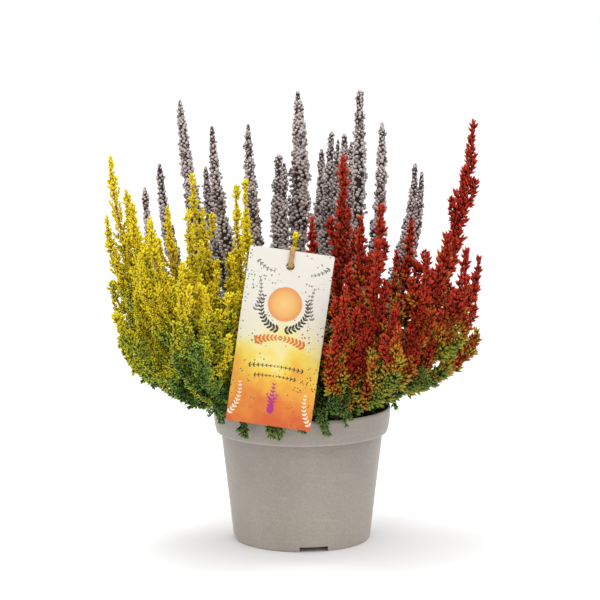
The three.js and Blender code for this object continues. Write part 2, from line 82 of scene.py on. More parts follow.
# The card tag and the tie band through its hole. A row of the route is across, behind and up in the
# tag's own frame, and the turn of the band's flat side in degrees
TAG_WIDTH = 60
TAG_LENGTH = 124
TAG_THICKNESS = 0.8
TAG_CORNER = 1.5
TAG_CENTRE = (-15.3, -70, 159.6)
TAG_TURN = math.radians(8.1)
TAG_LEAN = math.radians(-7)
TAG_HOLE_RADIUS = 3
TAG_HOLE_HEIGHT = 51
TIE_WIDTH = 3.6
TIE_THICKNESS = 0.8
TIE_STEPS = 28
TIE_ROUTE = np.array([
    [0, 0.2, 50.4, 0],
    [0, -1.9, 51.4, 0],
    [0, -1.6, 56, 0],
    [0, -1.5, 61.4, 0],
    [0, 0.4, 64.2, 0],
    [-1.6, 5.5, 63, 35],
    [-4.6, 11, 59, 80],
    [-5.4, 17, 56, 90],
    [-3.4, 22.6, 54.4, 90],
    [0, 24.6, 54, 90],
    [3.4, 22.6, 53.6, 90],
    [5.4, 17, 52.6, 90],
    [4.6, 11, 51.6, 80],
    [1.6, 5, 50.6, 35],
])

# Where each stem's tip stands, and for a low sprig the height that it arches over
SILVER_TIPS = [
    [-115, 20, 256], [-105, 38, 271], [-90, 45, 318], [-83, 10, 263], [-72, 64, 266],
    [-66, 30, 300], [-40, 55, 299], [-38, 15, 278], [-17, 35, 279], [-3, 50, 323],
    [15, 82, 278], [22, 62, 293], [31, 22, 295], [43, 55, 324], [59, 40, 302],
    [84, 48, 271], [74, 84, 207], [-58, 98, 214], [-18, 106, 222],
    [30, 106, 206],
]
YELLOW_TIPS = [
    [-135, -45, 284], [-118, -70, 255], [-105, -85, 245], [-96, -28, 247], [-82, -98, 218],
    [-80, -60, 250], [-79, -8, 269], [-47, -22, 262], [-40, -44, 269], [-4, -46, 231],
    [-134, 8, 198], [-131, -62, 178], [-130, -18, 152], [-68, -86, 198], [-112, 42, 186],
]
RED_TIPS = [
    [7, -27, 241], [30, 0, 281], [42, -46, 242], [57, -22, 250], [53, -80, 231],
    [79, -8, 236], [89, -60, 219], [105, -25, 228], [116, -52, 220], [124, 10, 307],
    [132, 42, 203], [126, -20, 160], [30, -94, 201], [66, -102, 172],
]
SPRIG_TIPS = [
    [-106, -48, 121, 128], [-58, -84, 108, 122], [-14, -74, 91, 116], [34, -76, 103, 118],
    [96, -54, 123, 130], [-62, 84, 120, 128], [58, 86, 118, 126],
]

# How each plant's stems are set out and clothed. bare is the leafless foot of a stem, and tip_back is the
# room that its last leaves take. Side shoots reach out by tip_reach at the tip and by spread more for each
# millimetre down, up to full_reach. Those of stout stems reach farther by a factor, and those in the
# lowest leafy_share of a stem reach leafy_reach. A twin is a stem's number, its way aside and its drop
SILVER = dict(
    node="silver_spike", slot="silver_shoot", middle=(0, 22), tips=SILVER_TIPS, bare=14, tip_back=0,
    tip_reach=3, spread=0.04, full_reach=6.4, leafy_share=0.4, leafy_reach=11, branches=0,
    twigs=5, twig_span=(0.06, 0.34), twig_length=(38, 26), stout={8: 1.15, 9: 1.35, 13: 1.2},
    twins=((9, 2, 6), (12, 5, 6), (15, 5, 6), (8, 4, 6), (11, 5, 6)),
)
YELLOW = dict(
    node="yellow_plume", slot="yellow_shoot", middle=(-25, -12), tips=YELLOW_TIPS, bare=12, tip_back=4,
    tip_reach=4.4, spread=0.07, full_reach=9.5, leafy_share=0, leafy_reach=0,
    branches=2, branch_length=44, twigs=12, twig_span=(0.16, 0.78), twig_length=(44, 24),
    stout={0: 1.35, 1: 1.35, 2: 1.3, 3: 1.2, 10: 1.3, 11: 1.3, 14: 1.2},
    twins=(
        (0, 11, 22), (0, -3, 40), (0, 3, 64), (1, 9, 22), (2, -8, 22), (3, -7, 22), (6, 7, 22),
        (10, 9, 22), (10, -4, 20), (11, 8, 24), (11, 12, 38), (12, 5, 15), (12, 14, 27),
    ),
)
RED = dict(
    YELLOW, node="red_plume", slot="red_shoot", middle=(25, -12), tips=RED_TIPS, tip_back=5,
    tip_reach=5.4, spread=0.055, full_reach=8.8, twigs=13, twig_length=(42, 18),
    stout={1: 1.25, 9: 1.4, 7: 1.15}, twins=((9, -5, 34), (5, 6, 34), (8, 7, 34)),
)
SPRIG = dict(
    YELLOW, node="green_sprig", slot="green_shoot", middle=(0, -6), tips=SPRIG_TIPS, bare=8, tip_back=2,
    tip_reach=5.2, full_reach=7.8, branches=0, twigs=6, twig_span=(0.3, 0.8), twig_length=(22, 12),
    stout={}, twins=(),
)
PLANTS = (SILVER, YELLOW, RED, SPRIG)

# A stem's habit, as shares of its run out and its rise
STEM_POINTS = 20
STEM_RADIUS = 1.6
ROOT_SHARE = 0.28
ROOT_LIMIT = 45
FIRST_OUT = 0.34
FIRST_RISE = 0.3
LEAST_RISE = 32
LAST_OUT = -0.06
LAST_RISE = -0.55
ARCH_FIRST_OUT = 0.25
ARCH_LAST_OUT = -0.1

# The spacing that stems bend to, and how far they are pushed in each round. No length counts as less than
# a tiny one
TINY = 1e-12
SPACING_LOW = 8.5
SPACING_GROWTH = 0.28
SPACING_FULL = 23
BEND_ROUNDS = 30
BEND_STEP = 0.22
BEND_LIMIT = 2
BEND_SMOOTHING = 0.25
TIP_HOLD = 5
TIE_SPACING = 6
EDGE_SPACING = 9
EDGE_PUSH = 4
LEAF_MARGIN = 0.7
RIM_MIDDLE = 1.2
RIM_HALF = 1.4

# Side branches: where they start, and their run out, along the stem and up as shares of their length
BRANCH_POINTS = 5
BRANCH_START = 0.3
BRANCH_START_SPAN = 0.42
BRANCH_OUT = 0.62
BRANCH_ALONG = 0.25
BRANCH_UP = 0.6
BRANCH_SHRINK = 0.2
BRANCH_ROOM = 5
BRANCH_TURNS = 8
BRANCH_BOX = (132, 104)
BRANCH_REACH = 8
GOLDEN_ANGLE = math.pi * (3 - math.sqrt(5))


def linear(code):
    """Linear colour from an sRGB hex value such as "a69d94"."""
    shares = [int(code[i:i + 2], 16) / 255 for i in (0, 2, 4)]
    return [s / 12.92 if s <= 0.04045 else ((s + 0.055) / 1.055) ** 2.4 for s in shares]


def feed(tree, node, *values, **inputs):
    """Give a node's inputs, in order or by name, a plain value, a node or a node's output each."""
    pairs = list(zip(node.inputs, values))
    for key, value in inputs.items():
        name = key.replace("_", " ").lower()
        pairs.append((next(s for s in node.inputs if s.enabled and s.name.lower() == name), value))
    for socket, value in pairs:
        if isinstance(value, bpy.types.Node):
            value = next(s for s in value.outputs if s.enabled)
        if isinstance(value, bpy.types.NodeSocket):
            tree.links.new(value, socket)
        else:
            socket.default_value = value


def add(tree, kind, settings=None, *values, **inputs):
    """Add a node with its settings, or the name of its operation, and feed its inputs."""
    node = tree.nodes.new(kind)
    if isinstance(settings, str):
        settings = {"operation": settings}
    for key, value in (settings or {}).items():
        setattr(node, key, value)
    feed(tree, node, *values, **inputs)
    return node


def out(node, name):
    """The output of a node by its name."""
    return next(s for s in node.outputs if s.enabled and s.name == name)


# Where the stems run, worked out as the solids' own places are


def unit(vectors):
    """Vectors of length 1 the same way."""
    return vectors / np.linalg.norm(vectors, axis=-1, keepdims=True)


def cubic(first, second, third, last, share):
    """Points on the smooth curve through four control points."""
    t = np.asarray(share)[:, None]
    s = 1 - t
    return first * s ** 3 + 3 * second * s * s * t + 3 * third * s * t * t + last * t ** 3


def stem_curve(plant, tip):
    """A stem before it is bent clear: out from the foot of its plant, then up to its tip."""
    end = np.array(tip[:3], float)
    root = np.array([*plant["middle"], SOIL_TOP], float)
    root[:2] += ROOT_SHARE * (end[:2] - root[:2])
    root[:2] *= min(1, ROOT_LIMIT / np.hypot(*root[:2]))
    run = np.array([*(end - root)[:2], 0])
    rise = end[2] - SOIL_TOP
    first = root + run * FIRST_OUT
    first[2] += max(LEAST_RISE, FIRST_RISE * rise)
    second = end + run * LAST_OUT
    second[2] += LAST_RISE * rise
    if len(tip) > 3:
        first = root + run * ARCH_FIRST_OUT
        second = end + run * ARCH_LAST_OUT
        first[2] = second[2] = tip[3]
    return cubic(root, first, second, end, np.linspace(0, 1, STEM_POINTS + 1))


def tag_frame():
    """The tag's own frame in millimetres, with x across it, y behind it and z up it."""
    turn = Matrix.Rotation(TAG_LEAN, 4, "X") @ Matrix.Rotation(TAG_TURN, 4, "Y")
    return Matrix.Translation(TAG_CENTRE) @ turn


def tie_frames(steps):
    """The tie's middle line in the tag's frame, with its flat direction and its thick direction."""
    count = len(TIE_ROUTE)
    frames = []
    for step in range(steps):
        share = step / steps * count
        k, t = int(share), share % 1
        a, b, c, d = (TIE_ROUTE[(k + i) % count, :3] for i in (-1, 0, 1, 2))
        leave, arrive = (c - a) / 2, (d - b) / 2
        second, third = b + leave / 3, c - arrive / 3
        point = cubic(b, second, third, c, [t])[0]
        s = 1 - t
        along = unit((second - b) * s * s + 2 * (third - second) * s * t + (c - third) * t * t)
        turn = math.radians(np.interp(t, (0, 1), (TIE_ROUTE[k, 3], TIE_ROUTE[(k + 1) % count, 3])))
        wide = np.array([math.cos(turn), 0, math.sin(turn)])
        wide = unit(wide - along * (wide @ along))
        frames.append((point, wide, np.cross(along, wide)))
    return frames


def from_rim(points):
    """The way from the pot's rim band to points, and the clear room there."""
    radius = np.hypot(points[:, 0], points[:, 1])
    share = (radius - (RIM_RADIUS - RIM_MIDDLE)) / radius
    height = np.clip(points[:, 2], POT_HEIGHT - BAND_HEIGHT, POT_HEIGHT - 1)
    way = np.column_stack([points[:, 0] * share, points[:, 1] * share, points[:, 2] - height])
    return way, np.linalg.norm(way, axis=1) - RIM_HALF


def from_tag(points):
    """The way from the tag to points, and the clear room there."""
    place = np.array(tag_frame())
    own = (points - place[:3, 3]) @ place[:3, :3]
    half = np.array([TAG_WIDTH / 2, 0, TAG_LENGTH / 2])
    nearest = np.clip(own, -half, half)
    way = points - (nearest @ place[:3, :3].T + place[:3, 3])
    return way, np.linalg.norm(way, axis=1) - TAG_THICKNESS / 2


@lru_cache
def tie_points():
    """Points along the tie's middle line, in the part's own frame."""
    place = np.array(tag_frame())
    points = np.array([point for point, _, _ in tie_frames(TIE_STEPS)])
    return points @ place[:3, :3].T + place[:3, 3]


def limited(vectors, most):
    """Vectors cut back to a length."""
    length = np.linalg.norm(vectors, axis=-1, keepdims=True)
    return vectors * np.minimum(1, most / np.maximum(length, TINY))


def pushed(way, distance, wanted):
    """The push away from what is nearer than wanted."""
    length = np.maximum(np.linalg.norm(way, axis=-1), TINY)
    amount = np.where(distance < wanted, BEND_STEP * (wanted - distance) / length, 0)
    return way * amount[..., None]


def bend_clear(start):
    """Stems too near each other, the rim, the tag or the tie are pushed apart, a little at a time."""
    count, rows = start.shape[:2]
    stem_of = np.repeat(np.arange(count), rows)
    others = stem_of[:, None] != stem_of[None]
    free = np.minimum(1, (STEM_POINTS - np.arange(rows)) / TIP_HOLD)[None, :, None]
    points = start.copy()
    bend = np.zeros_like(start)
    for _ in range(BEND_ROUNDS):
        flat = points.reshape(-1, 3)
        way = flat[:, None] - flat[None]
        height = (flat[:, None, 2] + flat[None, :, 2]) / 2 - SOIL_TOP
        wanted = np.minimum(SPACING_FULL, SPACING_LOW + SPACING_GROWTH * height)
        push = pushed(way, np.linalg.norm(way, axis=-1), np.where(others, wanted, 0)).sum(axis=1)
        way = flat[:, None] - tie_points()[None]
        push += pushed(way, np.linalg.norm(way, axis=-1), TIE_SPACING).sum(axis=1)
        push = limited(push, BEND_LIMIT)
        for way, room in (from_rim(flat), from_tag(flat)):
            push += pushed(way, EDGE_PUSH * room, EDGE_PUSH * EDGE_SPACING)
        push = push.reshape(start.shape)
        push[:, 0, 2] = 0
        bend += limited(push, 2 * BEND_LIMIT) * free
        before = np.concatenate([bend[:, :1], bend[:, :-2]], axis=1)
        bend[:, :-1] += BEND_SMOOTHING * (before - 2 * bend[:, :-1] + bend[:, 1:])
        bend[:, 0, 2] = 0
        points = start + bend
        inwards = np.minimum(1, ROOT_LIMIT / np.hypot(points[:, 0, 0], points[:, 0, 1]))
        points[:, 0, :2] *= inwards[:, None]
    return points


def open_room(points, stem, stems):
    """The least room for leaves at points: to the pot, tag, tie and peat, and half-way to other stems."""
    room = min(from_rim(points)[1].min(), from_tag(points)[1].min(), points[:, 2].min() - SOIL_TOP)
    reach = np.linalg.norm(points[:, None] - tie_points()[None], axis=-1).min() - TIE_WIDTH / 2
    rest = np.concatenate([other["all"] for other in stems if other is not stem])
    half = np.linalg.norm(points[:, None] - rest[None], axis=-1).min() / 2
    return min(room, reach, half) - LEAF_MARGIN


def branch_line(points, start, angle, length, out_share=BRANCH_OUT):
    """A side branch that leaves a stem at a point of it and turns up."""
    along = unit(points[start + 1] - points[start])
    away = np.array([math.cos(angle), math.sin(angle), 0])
    t = np.linspace(0, 1, BRANCH_POINTS + 1)[:, None]
    run = away * out_share * np.sin(t * math.pi / 2) + along * BRANCH_ALONG * t
    return points[start] + length * (run + np.array([0, 0, BRANCH_UP]) * t * t)


def grow_branches(stem, index, stems):
    """Branches take the most open of eight directions, and one without room is left out."""
    plant, points = stem["plant"], stem["points"]
    for b in range(plant["branches"]):
        start = round((BRANCH_START + BRANCH_START_SPAN * b / plant["branches"]) * STEM_POINTS)
        length = plant["branch_length"] * (1 - BRANCH_SHRINK * b)
        best, most = None, BRANCH_ROOM
        for turn in range(BRANCH_TURNS):
            angle = (index + b) * GOLDEN_ANGLE + turn * 2 * math.pi / BRANCH_TURNS
            line = branch_line(points, start, angle, length)
            inside = (np.abs(line[-1, :2]) <= BRANCH_BOX).all()
            room = open_room(line[2:], stem, stems)
            if inside and room > most:
                best, most = line, room
        if best is not None:
            stem["branches"].append(best)
            stem["all"] = np.concatenate([stem["all"], best[1:]])


@lru_cache
def all_stems():
    """Every stem with its plant, its points and its branches, in millimetres."""
    named = [(plant, i, tip) for plant in PLANTS for i, tip in enumerate(plant["tips"])]
    lines = bend_clear(np.array([stem_curve(plant, tip) for plant, _, tip in named]))
    stems = [
        dict(name=f"{plant['node']}_{i + 1:02d}", plant=plant, points=points, all=points, branches=[])
        for (plant, i, _), points in zip(named, lines)
    ]
    for index, stem in enumerate(stems):
        grow_branches(stem, index, stems)
    return stems


# Fine twigs that the solids leave out: on each coloured stem, shorter towards its tip
TWIG_OUT = 0.45
TWIG_CLEAR = 3
TWIG_BOX = (142, 108)
TWIG_REACH = 7
TWIG_TURN = 3

# Side shoots are short where a stem leaves the peat. A stem's own radius falls to that of its tip, and
# the leaves of branches look as old as those this much farther from a stem's tip
LOW_REACH = 0.45
LOW_REACH_RUN = 70
STEM_TIP_RADIUS = 0.45
BRANCH_AGE = 12

# A twin shoot runs beside the upper half of its stem, a little slimmer and farther forward
TWIN_REACH = 0.85
TWIN_FORWARD = 1

# Ripeness is spread evenly over stems and twigs by golden steps. Stems differ less than twigs
GOLDEN_STEP = 0.618
TWIG_TONE_STEP = 5
STEM_TONE = 0.5

# The values that a line carries from point to point, with their units
LINE_VALUES = (("reach", MM), ("thick", MM), ("left", MM), ("budding", 1), ("tone", 1))


def clear_of_card(line):
    """True if no point of a line crosses the pot's rim or the card, or stands in front of the card."""
    place = np.array(tag_frame())
    own = (line - place[:3, 3]) @ place[:3, :3]
    half = (TAG_WIDTH / 2 + TWIG_CLEAR, TAG_LENGTH / 2 + TWIG_CLEAR)
    beside = (np.abs(own[:, [0, 2]]) < half).all(axis=1)
    if (beside & (own[:, 1] < TWIG_CLEAR)).any():
        return False
    return from_rim(line)[1].min() > TWIG_CLEAR


def twig_lines(stem, index):
    """Twigs of a stem, each in the first of eight directions that is clear of the pot and the card."""
    count = stem["plant"]["twigs"]
    twigs = []
    for t in range(count):
        share = t / max(count - 1, 1)
        start = round(np.interp(share, (0, 1), stem["plant"]["twig_span"]) * STEM_POINTS)
        length = np.interp(share, (0, 1), stem["plant"]["twig_length"])
        for turn in range(BRANCH_TURNS):
            angle = (TWIG_TURN * index + t) * GOLDEN_ANGLE + turn * 2 * math.pi / BRANCH_TURNS
            line = branch_line(stem["points"], start, angle, length, TWIG_OUT)
            if (np.abs(line[-1, :2]) <= TWIG_BOX).all() and clear_of_card(line[1:]):
                twigs.append(line)
                break
    return twigs


def travelled(points):
    """The way along a line to each of its points."""
    return np.concatenate([[0], np.linalg.norm(np.diff(points, axis=0), axis=1).cumsum()])


def clear_reach(points, reach):
    """Reach held back where the pot, the card, the tie or the peat is near."""
    tie = np.linalg.norm(points[:, None] - tie_points()[None], axis=-1).min(axis=1) - TIE_WIDTH / 2
    room = np.minimum.reduce([from_rim(points)[1], from_tag(points)[1], tie]) - LEAF_MARGIN
    return np.minimum(reach, np.maximum(room, 0))


def tone(index):
    """An even spread of values from -1 to 1, so that neighbouring twigs differ in ripeness."""
    return 2 * (index * GOLDEN_STEP % 1) - 1


def thin_line(line, reach, index, age=0):
    """A thin leafy line with its values from point to point, whose leaves look older by an age."""
    left = travelled(line)[-1] - travelled(line)
    thick = np.full(len(line), STEM_TIP_RADIUS)
    return line, clear_reach(line, reach), thick, left + age, 0 * left, np.full(len(line), tone(index))


def dressed_lines(stem, index):
    """A stem's lines, each with its reach, its own radius, the way to its tip, its buds and its tone."""
    plant, points = stem["plant"], stem["points"].copy()
    points[-1] -= plant["tip_back"] * unit(points[-1] - points[-2])
    number = int(stem["name"][-2:]) - 1
    travel = travelled(points)
    left = travel[-1] - travel
    reach = np.minimum(plant["full_reach"], plant["tip_reach"] + plant["spread"] * left)
    reach *= plant["stout"].get(number, 1)
    leafy = travel < plant["leafy_share"] * travel[-1]
    reach = np.where(leafy, plant["leafy_reach"], reach)
    reach *= np.minimum(1, LOW_REACH + travel / LOW_REACH_RUN)
    reach = np.where(travel < plant["bare"], 0, clear_reach(points, reach))
    budding = np.full(len(points), plant is SILVER) & ~leafy
    thick = STEM_TIP_RADIUS + (STEM_RADIUS - STEM_TIP_RADIUS) * left / travel[-1]
    lines = [(points, reach, thick, left, budding, np.full(len(points), STEM_TONE * tone(index)))]
    top = slice(len(points) // 2, None)
    share = np.linspace(0, 1, len(points[top]))[:, None]
    for owner, aside, drop in plant["twins"]:
        if owner == number:
            shift = np.array([aside, -TWIN_FORWARD, 0]) * np.minimum(1, 2 * share)
            twin = points[top] + shift - np.array([0, 0, drop]) * share
            lines.append((twin, reach[top] * TWIN_REACH, thick[top], left[top], budding[top], 0 * left[top]))
    for k, line in enumerate(stem["branches"] + twig_lines(stem, index)):
        left = travelled(line)[-1] - travelled(line)
        most = BRANCH_REACH if k < len(stem["branches"]) else TWIG_REACH
        reach = np.minimum(most, plant["tip_reach"] + plant["spread"] * left)
        lines.append(thin_line(line, reach, index + TWIG_TONE_STEP * len(lines), BRANCH_AGE))
    return lines


def lines_mesh(name, lines):
    """Lines as a mesh of edges that carries their values, in metres."""
    points = np.concatenate([line[0] for line in lines]) * MM
    edges, first = [], 0
    for line in lines:
        edges += [(first + i, first + i + 1) for i in range(len(line[0]) - 1)]
        first += len(line[0])
    mesh = bpy.data.meshes.new(name)
    mesh.from_pydata(points, edges, [])
    for k, (key, unit_size) in enumerate(LINE_VALUES):
        values = np.concatenate([line[k + 1] for line in lines]) * unit_size
        mesh.attributes.new(key, "FLOAT", "POINT").data.foreach_set("value", values.astype(np.float32))
    return mesh


def new_tree(name, **inputs):
    """A Geometry Nodes tree with its named inputs, each a kind, a default and perhaps a subtype."""
    tree = bpy.data.node_groups.new(name, "GeometryNodeTree")
    for key, (kind, default, *subtype) in inputs.items():
        label = key.replace("_", " ").capitalize()
        socket = tree.interface.new_socket(label, in_out="INPUT", socket_type=f"NodeSocket{kind}")
        if subtype:
            socket.subtype = subtype[0]
        if default is not None:
            socket.default_value = default
    tree.interface.new_socket("Geometry", in_out="OUTPUT", socket_type="NodeSocketGeometry")
    given = SimpleNamespace(**dict(zip(inputs, tree.nodes.new("NodeGroupInput").outputs)))
    return tree, given, tree.nodes.new("NodeGroupOutput")


def grown(name, lines, tree, settings=None, **values):
    """The plain mesh that a tree grows on lines, as a new object. The tree's inputs take the values, and
    else the settings, of the same name."""
    piece = bpy.data.objects.new(name, lines)
    bpy.context.scene.collection.objects.link(piece)
    growth = piece.modifiers.new("Growth", "NODES")
    growth.node_group = tree
    for socket in tree.interface.items_tree:
        key = socket.name.replace(" ", "_").lower()
        value = values.get(key, getattr(settings, key, None))
        if value is not None:
            growth[socket.identifier] = value
    depsgraph = bpy.context.evaluated_depsgraph_get()
    mesh = bpy.data.meshes.new_from_object(
        piece.evaluated_get(depsgraph), preserve_all_data_layers=True, depsgraph=depsgraph)
    piece.modifiers.remove(growth)
    piece.data = mesh
    mesh.name = name
    bpy.data.meshes.remove(lines)
    return piece


def placed(piece, slot, *nodes):
    """The piece rides on the part's body and hides the solids that it stands for. Its slot is not used."""
    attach(piece, BODY)
    if nodes:
        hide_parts(*nodes)
    return piece


def set_stops(node, settings, prefix):
    """Colours along a ramp, from the settings that begin alike and end with their place in hundredths."""
    endings = [key.removeprefix(prefix) for key in settings.__annotations__ if key.startswith(prefix)]
    places = sorted(int(ending) for ending in endings if ending.isdigit())
    elements = node.color_ramp.elements
    while len(elements) < len(places):
        elements.new(0.5)
    for element, place in zip(elements, places):
        element.position = place / 100
        element.color = (*getattr(settings, f"{prefix}{place}"), 1)


def new_material(name, **sockets):
    """A material with its shader, whose plain values are set on the shader's own sockets."""
    material = bpy.data.materials.new(name)
    material.use_nodes = True
    tree = material.node_tree
    shader = tree.nodes["Principled BSDF"]
    feed(tree, shader, **sockets)
    return material, tree, shader


# Geometry Nodes trees for what repeats along the stems, with lengths in metres. A kind of side shoot
# serves a span of reach and has its own length and leaves, so that leaves stay nearly one size
SHOOT_KINDS = ((0.0012, 0.0048, 0.0038, 6), (0.0048, 0.008, 0.0064, 9), (0.008, 1, 0.0105, 13))
SHOOT_VARIANTS = 3

# A range is from a low to a high value and what these two become. A spread is a least and a most
LOOSE = (0.8, 1.2)

# A side shoot's axis ends most of a leaf before its tip and turns back towards the stem. Its leaves are
# three-sided solids, rounded towards their tips, that close up and get smaller along it
LAST_LEAF = 0.7
LEAST_AXIS = 0.35
AXIS_TURN = -0.25
AXIS_STEPS = 8
AXIS_RADIUS = 0.00035
LEAF_SIDES = 3
LEAF_RINGS = 2
LEAF_ROUNDING = 0.12
LEAF_THICKNESS = 0.75
LEAF_CLOSING = (0, 1, 1, 0.35)
LEAF_SIZE = (0, 1, 1.1, 0.8)


def side_shoot_tree():
    """One short side shoot along +Z that turns back towards its stem, with scale leaves wound round it."""
    tree, given, result = new_tree(
        "Leafy side shoot",
        length=("Float", 0.008, "DISTANCE"), leaves=("Int", 11),
        leaf_length=("Float", 0.0022, "DISTANCE"), leaf_width=("Float", 0.0013, "DISTANCE"),
        splay=("Float", math.radians(42), "ANGLE"), seed=("Int", 0),
    )
    last_leaf = add(tree, "ShaderNodeMath", "MULTIPLY", given.leaf_length, LAST_LEAF)
    full = add(tree, "ShaderNodeMath", "SUBTRACT", given.length, last_leaf)
    least = add(tree, "ShaderNodeMath", "MULTIPLY", given.length, LEAST_AXIS)
    full = add(tree, "ShaderNodeMath", "MAXIMUM", full, least)
    half = add(tree, "ShaderNodeMath", "MULTIPLY", full, 0.5)
    back = add(tree, "ShaderNodeMath", "MULTIPLY", full, AXIS_TURN)
    axis = add(
        tree, "GeometryNodeCurveQuadraticBezier", resolution=AXIS_STEPS, start=(0, 0, 0),
        middle=add(tree, "ShaderNodeCombineXYZ", z=half),
        end=add(tree, "ShaderNodeCombineXYZ", x=back, z=full))
    points = add(tree, "GeometryNodeCurveToPoints", {"mode": "COUNT"}, curve=axis, count=given.leaves)
    index = add(tree, "GeometryNodeInputIndex")
    share = add(tree, "ShaderNodeMath", "DIVIDE", index, given.leaves)
    marked = add(tree, "GeometryNodeStoreNamedAttribute", geometry=points, name="shoot_share", value=share)

    leaf = add(tree, "GeometryNodeMeshUVSphere", segments=LEAF_SIDES, rings=LEAF_RINGS, radius=1)
    place = add(tree, "ShaderNodeSeparateXYZ", vector=add(tree, "GeometryNodeInputPosition"))
    along = add(tree, "ShaderNodeMapRange", value=out(place, "Z"), from_min=-1)
    leaf = add(tree, "GeometryNodeStoreNamedAttribute", geometry=leaf, name="leaf_share", value=along)
    tip = add(tree, "ShaderNodeMath", "MULTIPLY", out(place, "Z"), out(place, "Z"))
    tip = add(tree, "ShaderNodeMath", "MULTIPLY_ADD", tip, -LEAF_ROUNDING, LEAF_ROUNDING)
    tip = add(tree, "ShaderNodeCombineXYZ", z=tip)
    leaf = add(tree, "GeometryNodeSetPosition", geometry=leaf, offset=tip)
    half_long = add(tree, "ShaderNodeMath", "MULTIPLY", given.leaf_length, 0.5)
    half_wide = add(tree, "ShaderNodeMath", "MULTIPLY", given.leaf_width, 0.5)
    half_thick = add(tree, "ShaderNodeMath", "MULTIPLY", half_wide, LEAF_THICKNESS)
    leaf = add(
        tree, "GeometryNodeTransform", geometry=leaf,
        translation=add(tree, "ShaderNodeCombineXYZ", z=half_long),
        scale=add(tree, "ShaderNodeCombineXYZ", x=half_thick, y=half_wide, z=half_long))

    spin = add(tree, "ShaderNodeMath", "MULTIPLY", index, GOLDEN_ANGLE)
    close = add(tree, "ShaderNodeMapRange", {}, share, *LEAF_CLOSING)
    loose = add(tree, "FunctionNodeRandomValue", min=LOOSE[0], max=LOOSE[1], seed=given.seed)
    tilt = add(tree, "ShaderNodeMath", "MULTIPLY", given.splay, close)
    tilt = add(tree, "ShaderNodeMath", "MULTIPLY", tilt, loose)
    turn = add(tree, "FunctionNodeEulerToRotation", euler=add(tree, "ShaderNodeCombineXYZ", y=tilt, z=spin))
    turned = add(
        tree, "FunctionNodeRotateRotation", {"rotation_space": "LOCAL"},
        rotation=out(points, "Rotation"), rotate_by=turn)
    size = add(tree, "ShaderNodeMapRange", {}, share, *LEAF_SIZE)
    leaves = add(
        tree, "GeometryNodeInstanceOnPoints", points=marked, instance=leaf, rotation=turned,
        scale=add(tree, "ShaderNodeCombineXYZ", x=size, y=size, z=size))
    core = add(tree, "GeometryNodeMeshCone", vertices=LEAF_SIDES, radius_bottom=AXIS_RADIUS, depth=full)
    joined = add(tree, "GeometryNodeJoinGeometry", geometry=leaves)
    feed(tree, joined, core)
    feed(tree, result, add(tree, "GeometryNodeRealizeInstances", geometry=joined))
    return tree


# A spike narrows towards its tip and swells and thins in lumps about 6 mm long, round a heart of its own
TIP_TAPER = (0, 0.004, 0.6, 1)
LUMPS_PER_METRE = 170
LUMP_DEPTH = 0.9
LUMP_LEAST = 0.56
HEART_SHARE = 0.6
STEM_SIDES = 6
STEM_STEP = 0.005

# Side shoots are wound round their stem, open away from its tip and stand up at the very tip
SPIN_SPREAD = (-0.35, 0.35)
SIZE_SPREAD = (0.78, 1.12)
OPENING_RUN = 0.05
TIP_UPRIGHT = (0, 0.006, 0.25, 1)

# Buds are fewer where a spike is slim, sit a little within its reach and are smaller near its tip
BUD_FULL_REACH = 0.0066
BUD_ROOM = 0.0009
BUD_SEAT = 0.4
BUD_SLIMMING = (0, 0.03, 0.72, 1)
BUD_SEEN = 0.5


def bud_tree():
    """One closed bud along +Z, as wide as 1 and centred on the origin."""
    tree, given, result = new_tree("Closed bud", height=("Float", 1.25))
    bud = add(tree, "GeometryNodeMeshIcoSphere", radius=0.5, subdivisions=1)
    place = add(tree, "ShaderNodeSeparateXYZ", vector=add(tree, "GeometryNodeInputPosition"))
    along = add(tree, "ShaderNodeMapRange", value=out(place, "Z"), from_min=-0.5, from_max=0.5)
    bud = add(tree, "GeometryNodeStoreNamedAttribute", geometry=bud, name="leaf_share", value=along)
    size = add(tree, "ShaderNodeCombineXYZ", x=1, y=1, z=given.height)
    feed(tree, result, add(tree, "GeometryNodeTransform", geometry=bud, scale=size))
    return tree


